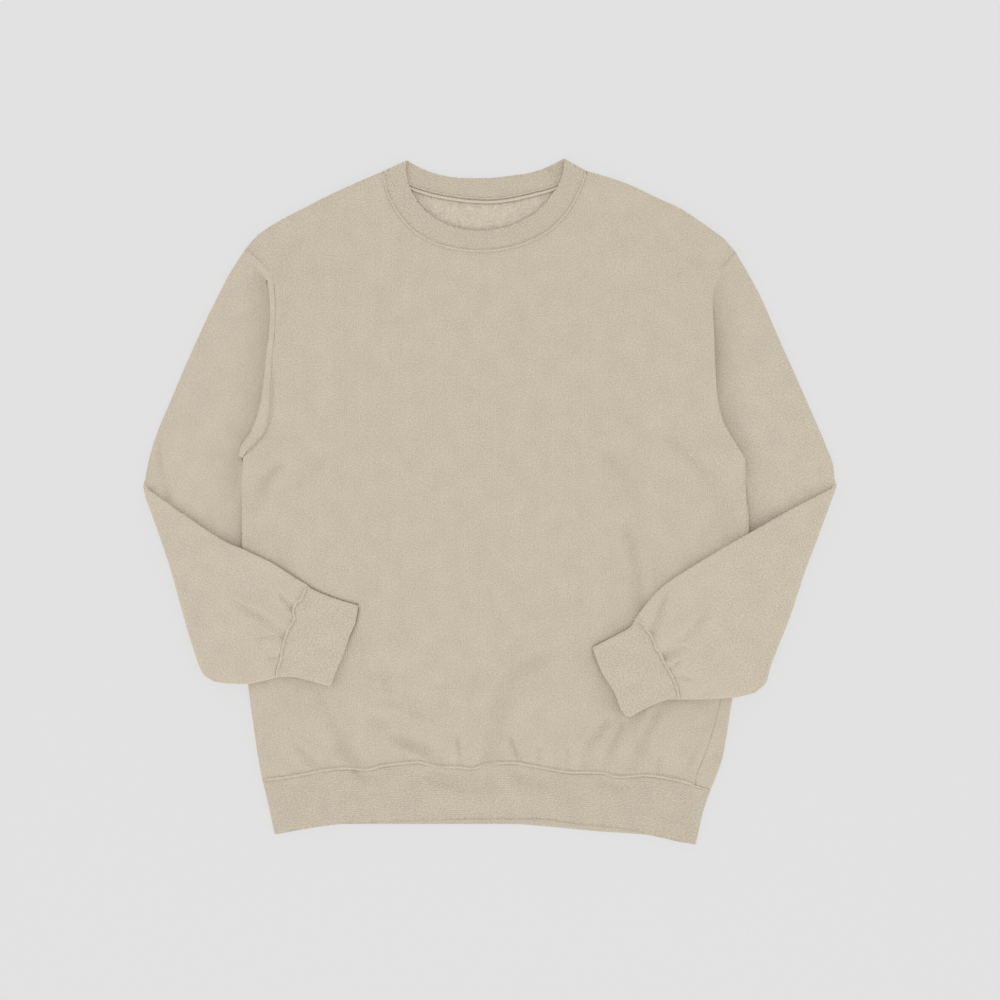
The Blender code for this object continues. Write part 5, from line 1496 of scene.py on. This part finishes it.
# floor, light and camera
studio = {
    "floorColour": (0.76, 0.76, 0.76), "floorGlow": 0.85,
    # brightness of the surrounding light by height: the sine of its elevation, then its strength
    "sky": ((0.0, 0.85), (0.12, 1.2), (0.45, 1.15), (0.65, 0.72), (1.0, 0.68)),
    "skyStrength": 1.165, "towardsHem": 0.04,
    "softbox": 6.0,
    "cameraHeight": 4.0, "view": 1.12, "centre": (0.01197, 0.00168),
}


def makeFloor():
    size = 6.0
    steps = 12
    ticks = np.linspace(-size, size, steps + 1)
    points = [(x, y, -0.0004) for y in ticks for x in ticks]
    wide = steps + 1
    faces = [(i * wide + j, i * wide + j + 1, (i + 1) * wide + j + 1, (i + 1) * wide + j)
             for i in range(steps) for j in range(steps)]
    mesh = bpy.data.meshes.new("floor")
    mesh.from_pydata(points, [], faces)
    floor = bpy.data.objects.new("floor", mesh)
    bpy.context.scene.collection.objects.link(floor)
    material = bpy.data.materials.new("paleFloor")
    material.use_nodes = True
    tree = material.node_tree
    shader = tree.nodes["Principled BSDF"]
    colour = studio["floorColour"]
    shader.inputs["Base Color"].default_value = (*[c * (1 - studio["floorGlow"]) for c in colour], 1.0)
    shader.inputs["Roughness"].default_value = 1.0
    shader.inputs["Specular IOR Level"].default_value = 0.0
    shader.inputs["Emission Color"].default_value = (*colour, 1.0)
    shader.inputs["Emission Strength"].default_value = studio["floorGlow"]
    mesh.materials.append(material)


def makeLight(name, power, size, place, target):
    data = bpy.data.lights.new(name, "AREA")
    data.shape = "DISK"
    data.size = size
    data.energy = power
    lamp = bpy.data.objects.new(name, data)
    lamp.location = place
    way = np.array(target, float) - np.array(place, float)
    lamp.rotation_euler = (math.atan2(math.hypot(way[0], way[1]), -way[2]), 0.0, math.atan2(-way[0], way[1]))
    bpy.context.scene.collection.objects.link(lamp)


makeFloor()
makeLight("softbox", studio["softbox"], 1.6, (-0.2, -2.4, 2.2), (0, 0, 0))


def makeSky():
    # soft light from all round, brightest low down
    world = bpy.data.worlds.new("studio")
    world.use_nodes = True
    tree = world.node_tree
    background = tree.nodes["Background"]
    place = node(tree, "ShaderNodeTexCoord", (-900, 0))
    parts = node(tree, "ShaderNodeSeparateXYZ", (-700, 0))
    tree.links.new(place.outputs["Generated"], parts.inputs["Vector"])
    ramp = node(tree, "ShaderNodeValToRGB", (-500, 100))
    stops = studio["sky"]
    top = max(level for _, level in stops)
    for _ in range(len(stops) - 2):
        ramp.color_ramp.elements.new(0.5)
    for element, (height, level) in zip(ramp.color_ramp.elements, stops):
        element.position = height
        element.color = (level / top, level / top, level / top, 1.0)
    tree.links.new(parts.outputs["Z"], ramp.inputs["Fac"])
    side = node(tree, "ShaderNodeMath", (-500, -200), operation="MULTIPLY_ADD")
    side.inputs[1].default_value = -studio["towardsHem"] * studio["skyStrength"] * top
    side.inputs[2].default_value = studio["skyStrength"] * top
    tree.links.new(parts.outputs["Y"], side.inputs[0])
    tree.links.new(ramp.outputs["Color"], background.inputs["Color"])
    tree.links.new(side.outputs["Value"], background.inputs["Strength"])
    bpy.context.scene.world = world


makeSky()
view = bpy.context.scene.view_settings
view.view_transform = "Standard"
view.look = "None"

cameraData = bpy.data.cameras.new("camera")
cameraData.sensor_width = 36.0
cameraData.lens = 36.0 * studio["cameraHeight"] / studio["view"]
cameraData.clip_end = 30.0
camera = bpy.data.objects.new("camera", cameraData)
camera.location = (*studio["centre"], studio["cameraHeight"])
bpy.context.scene.collection.objects.link(camera)
bpy.context.scene.camera = camera
print("studio ready")
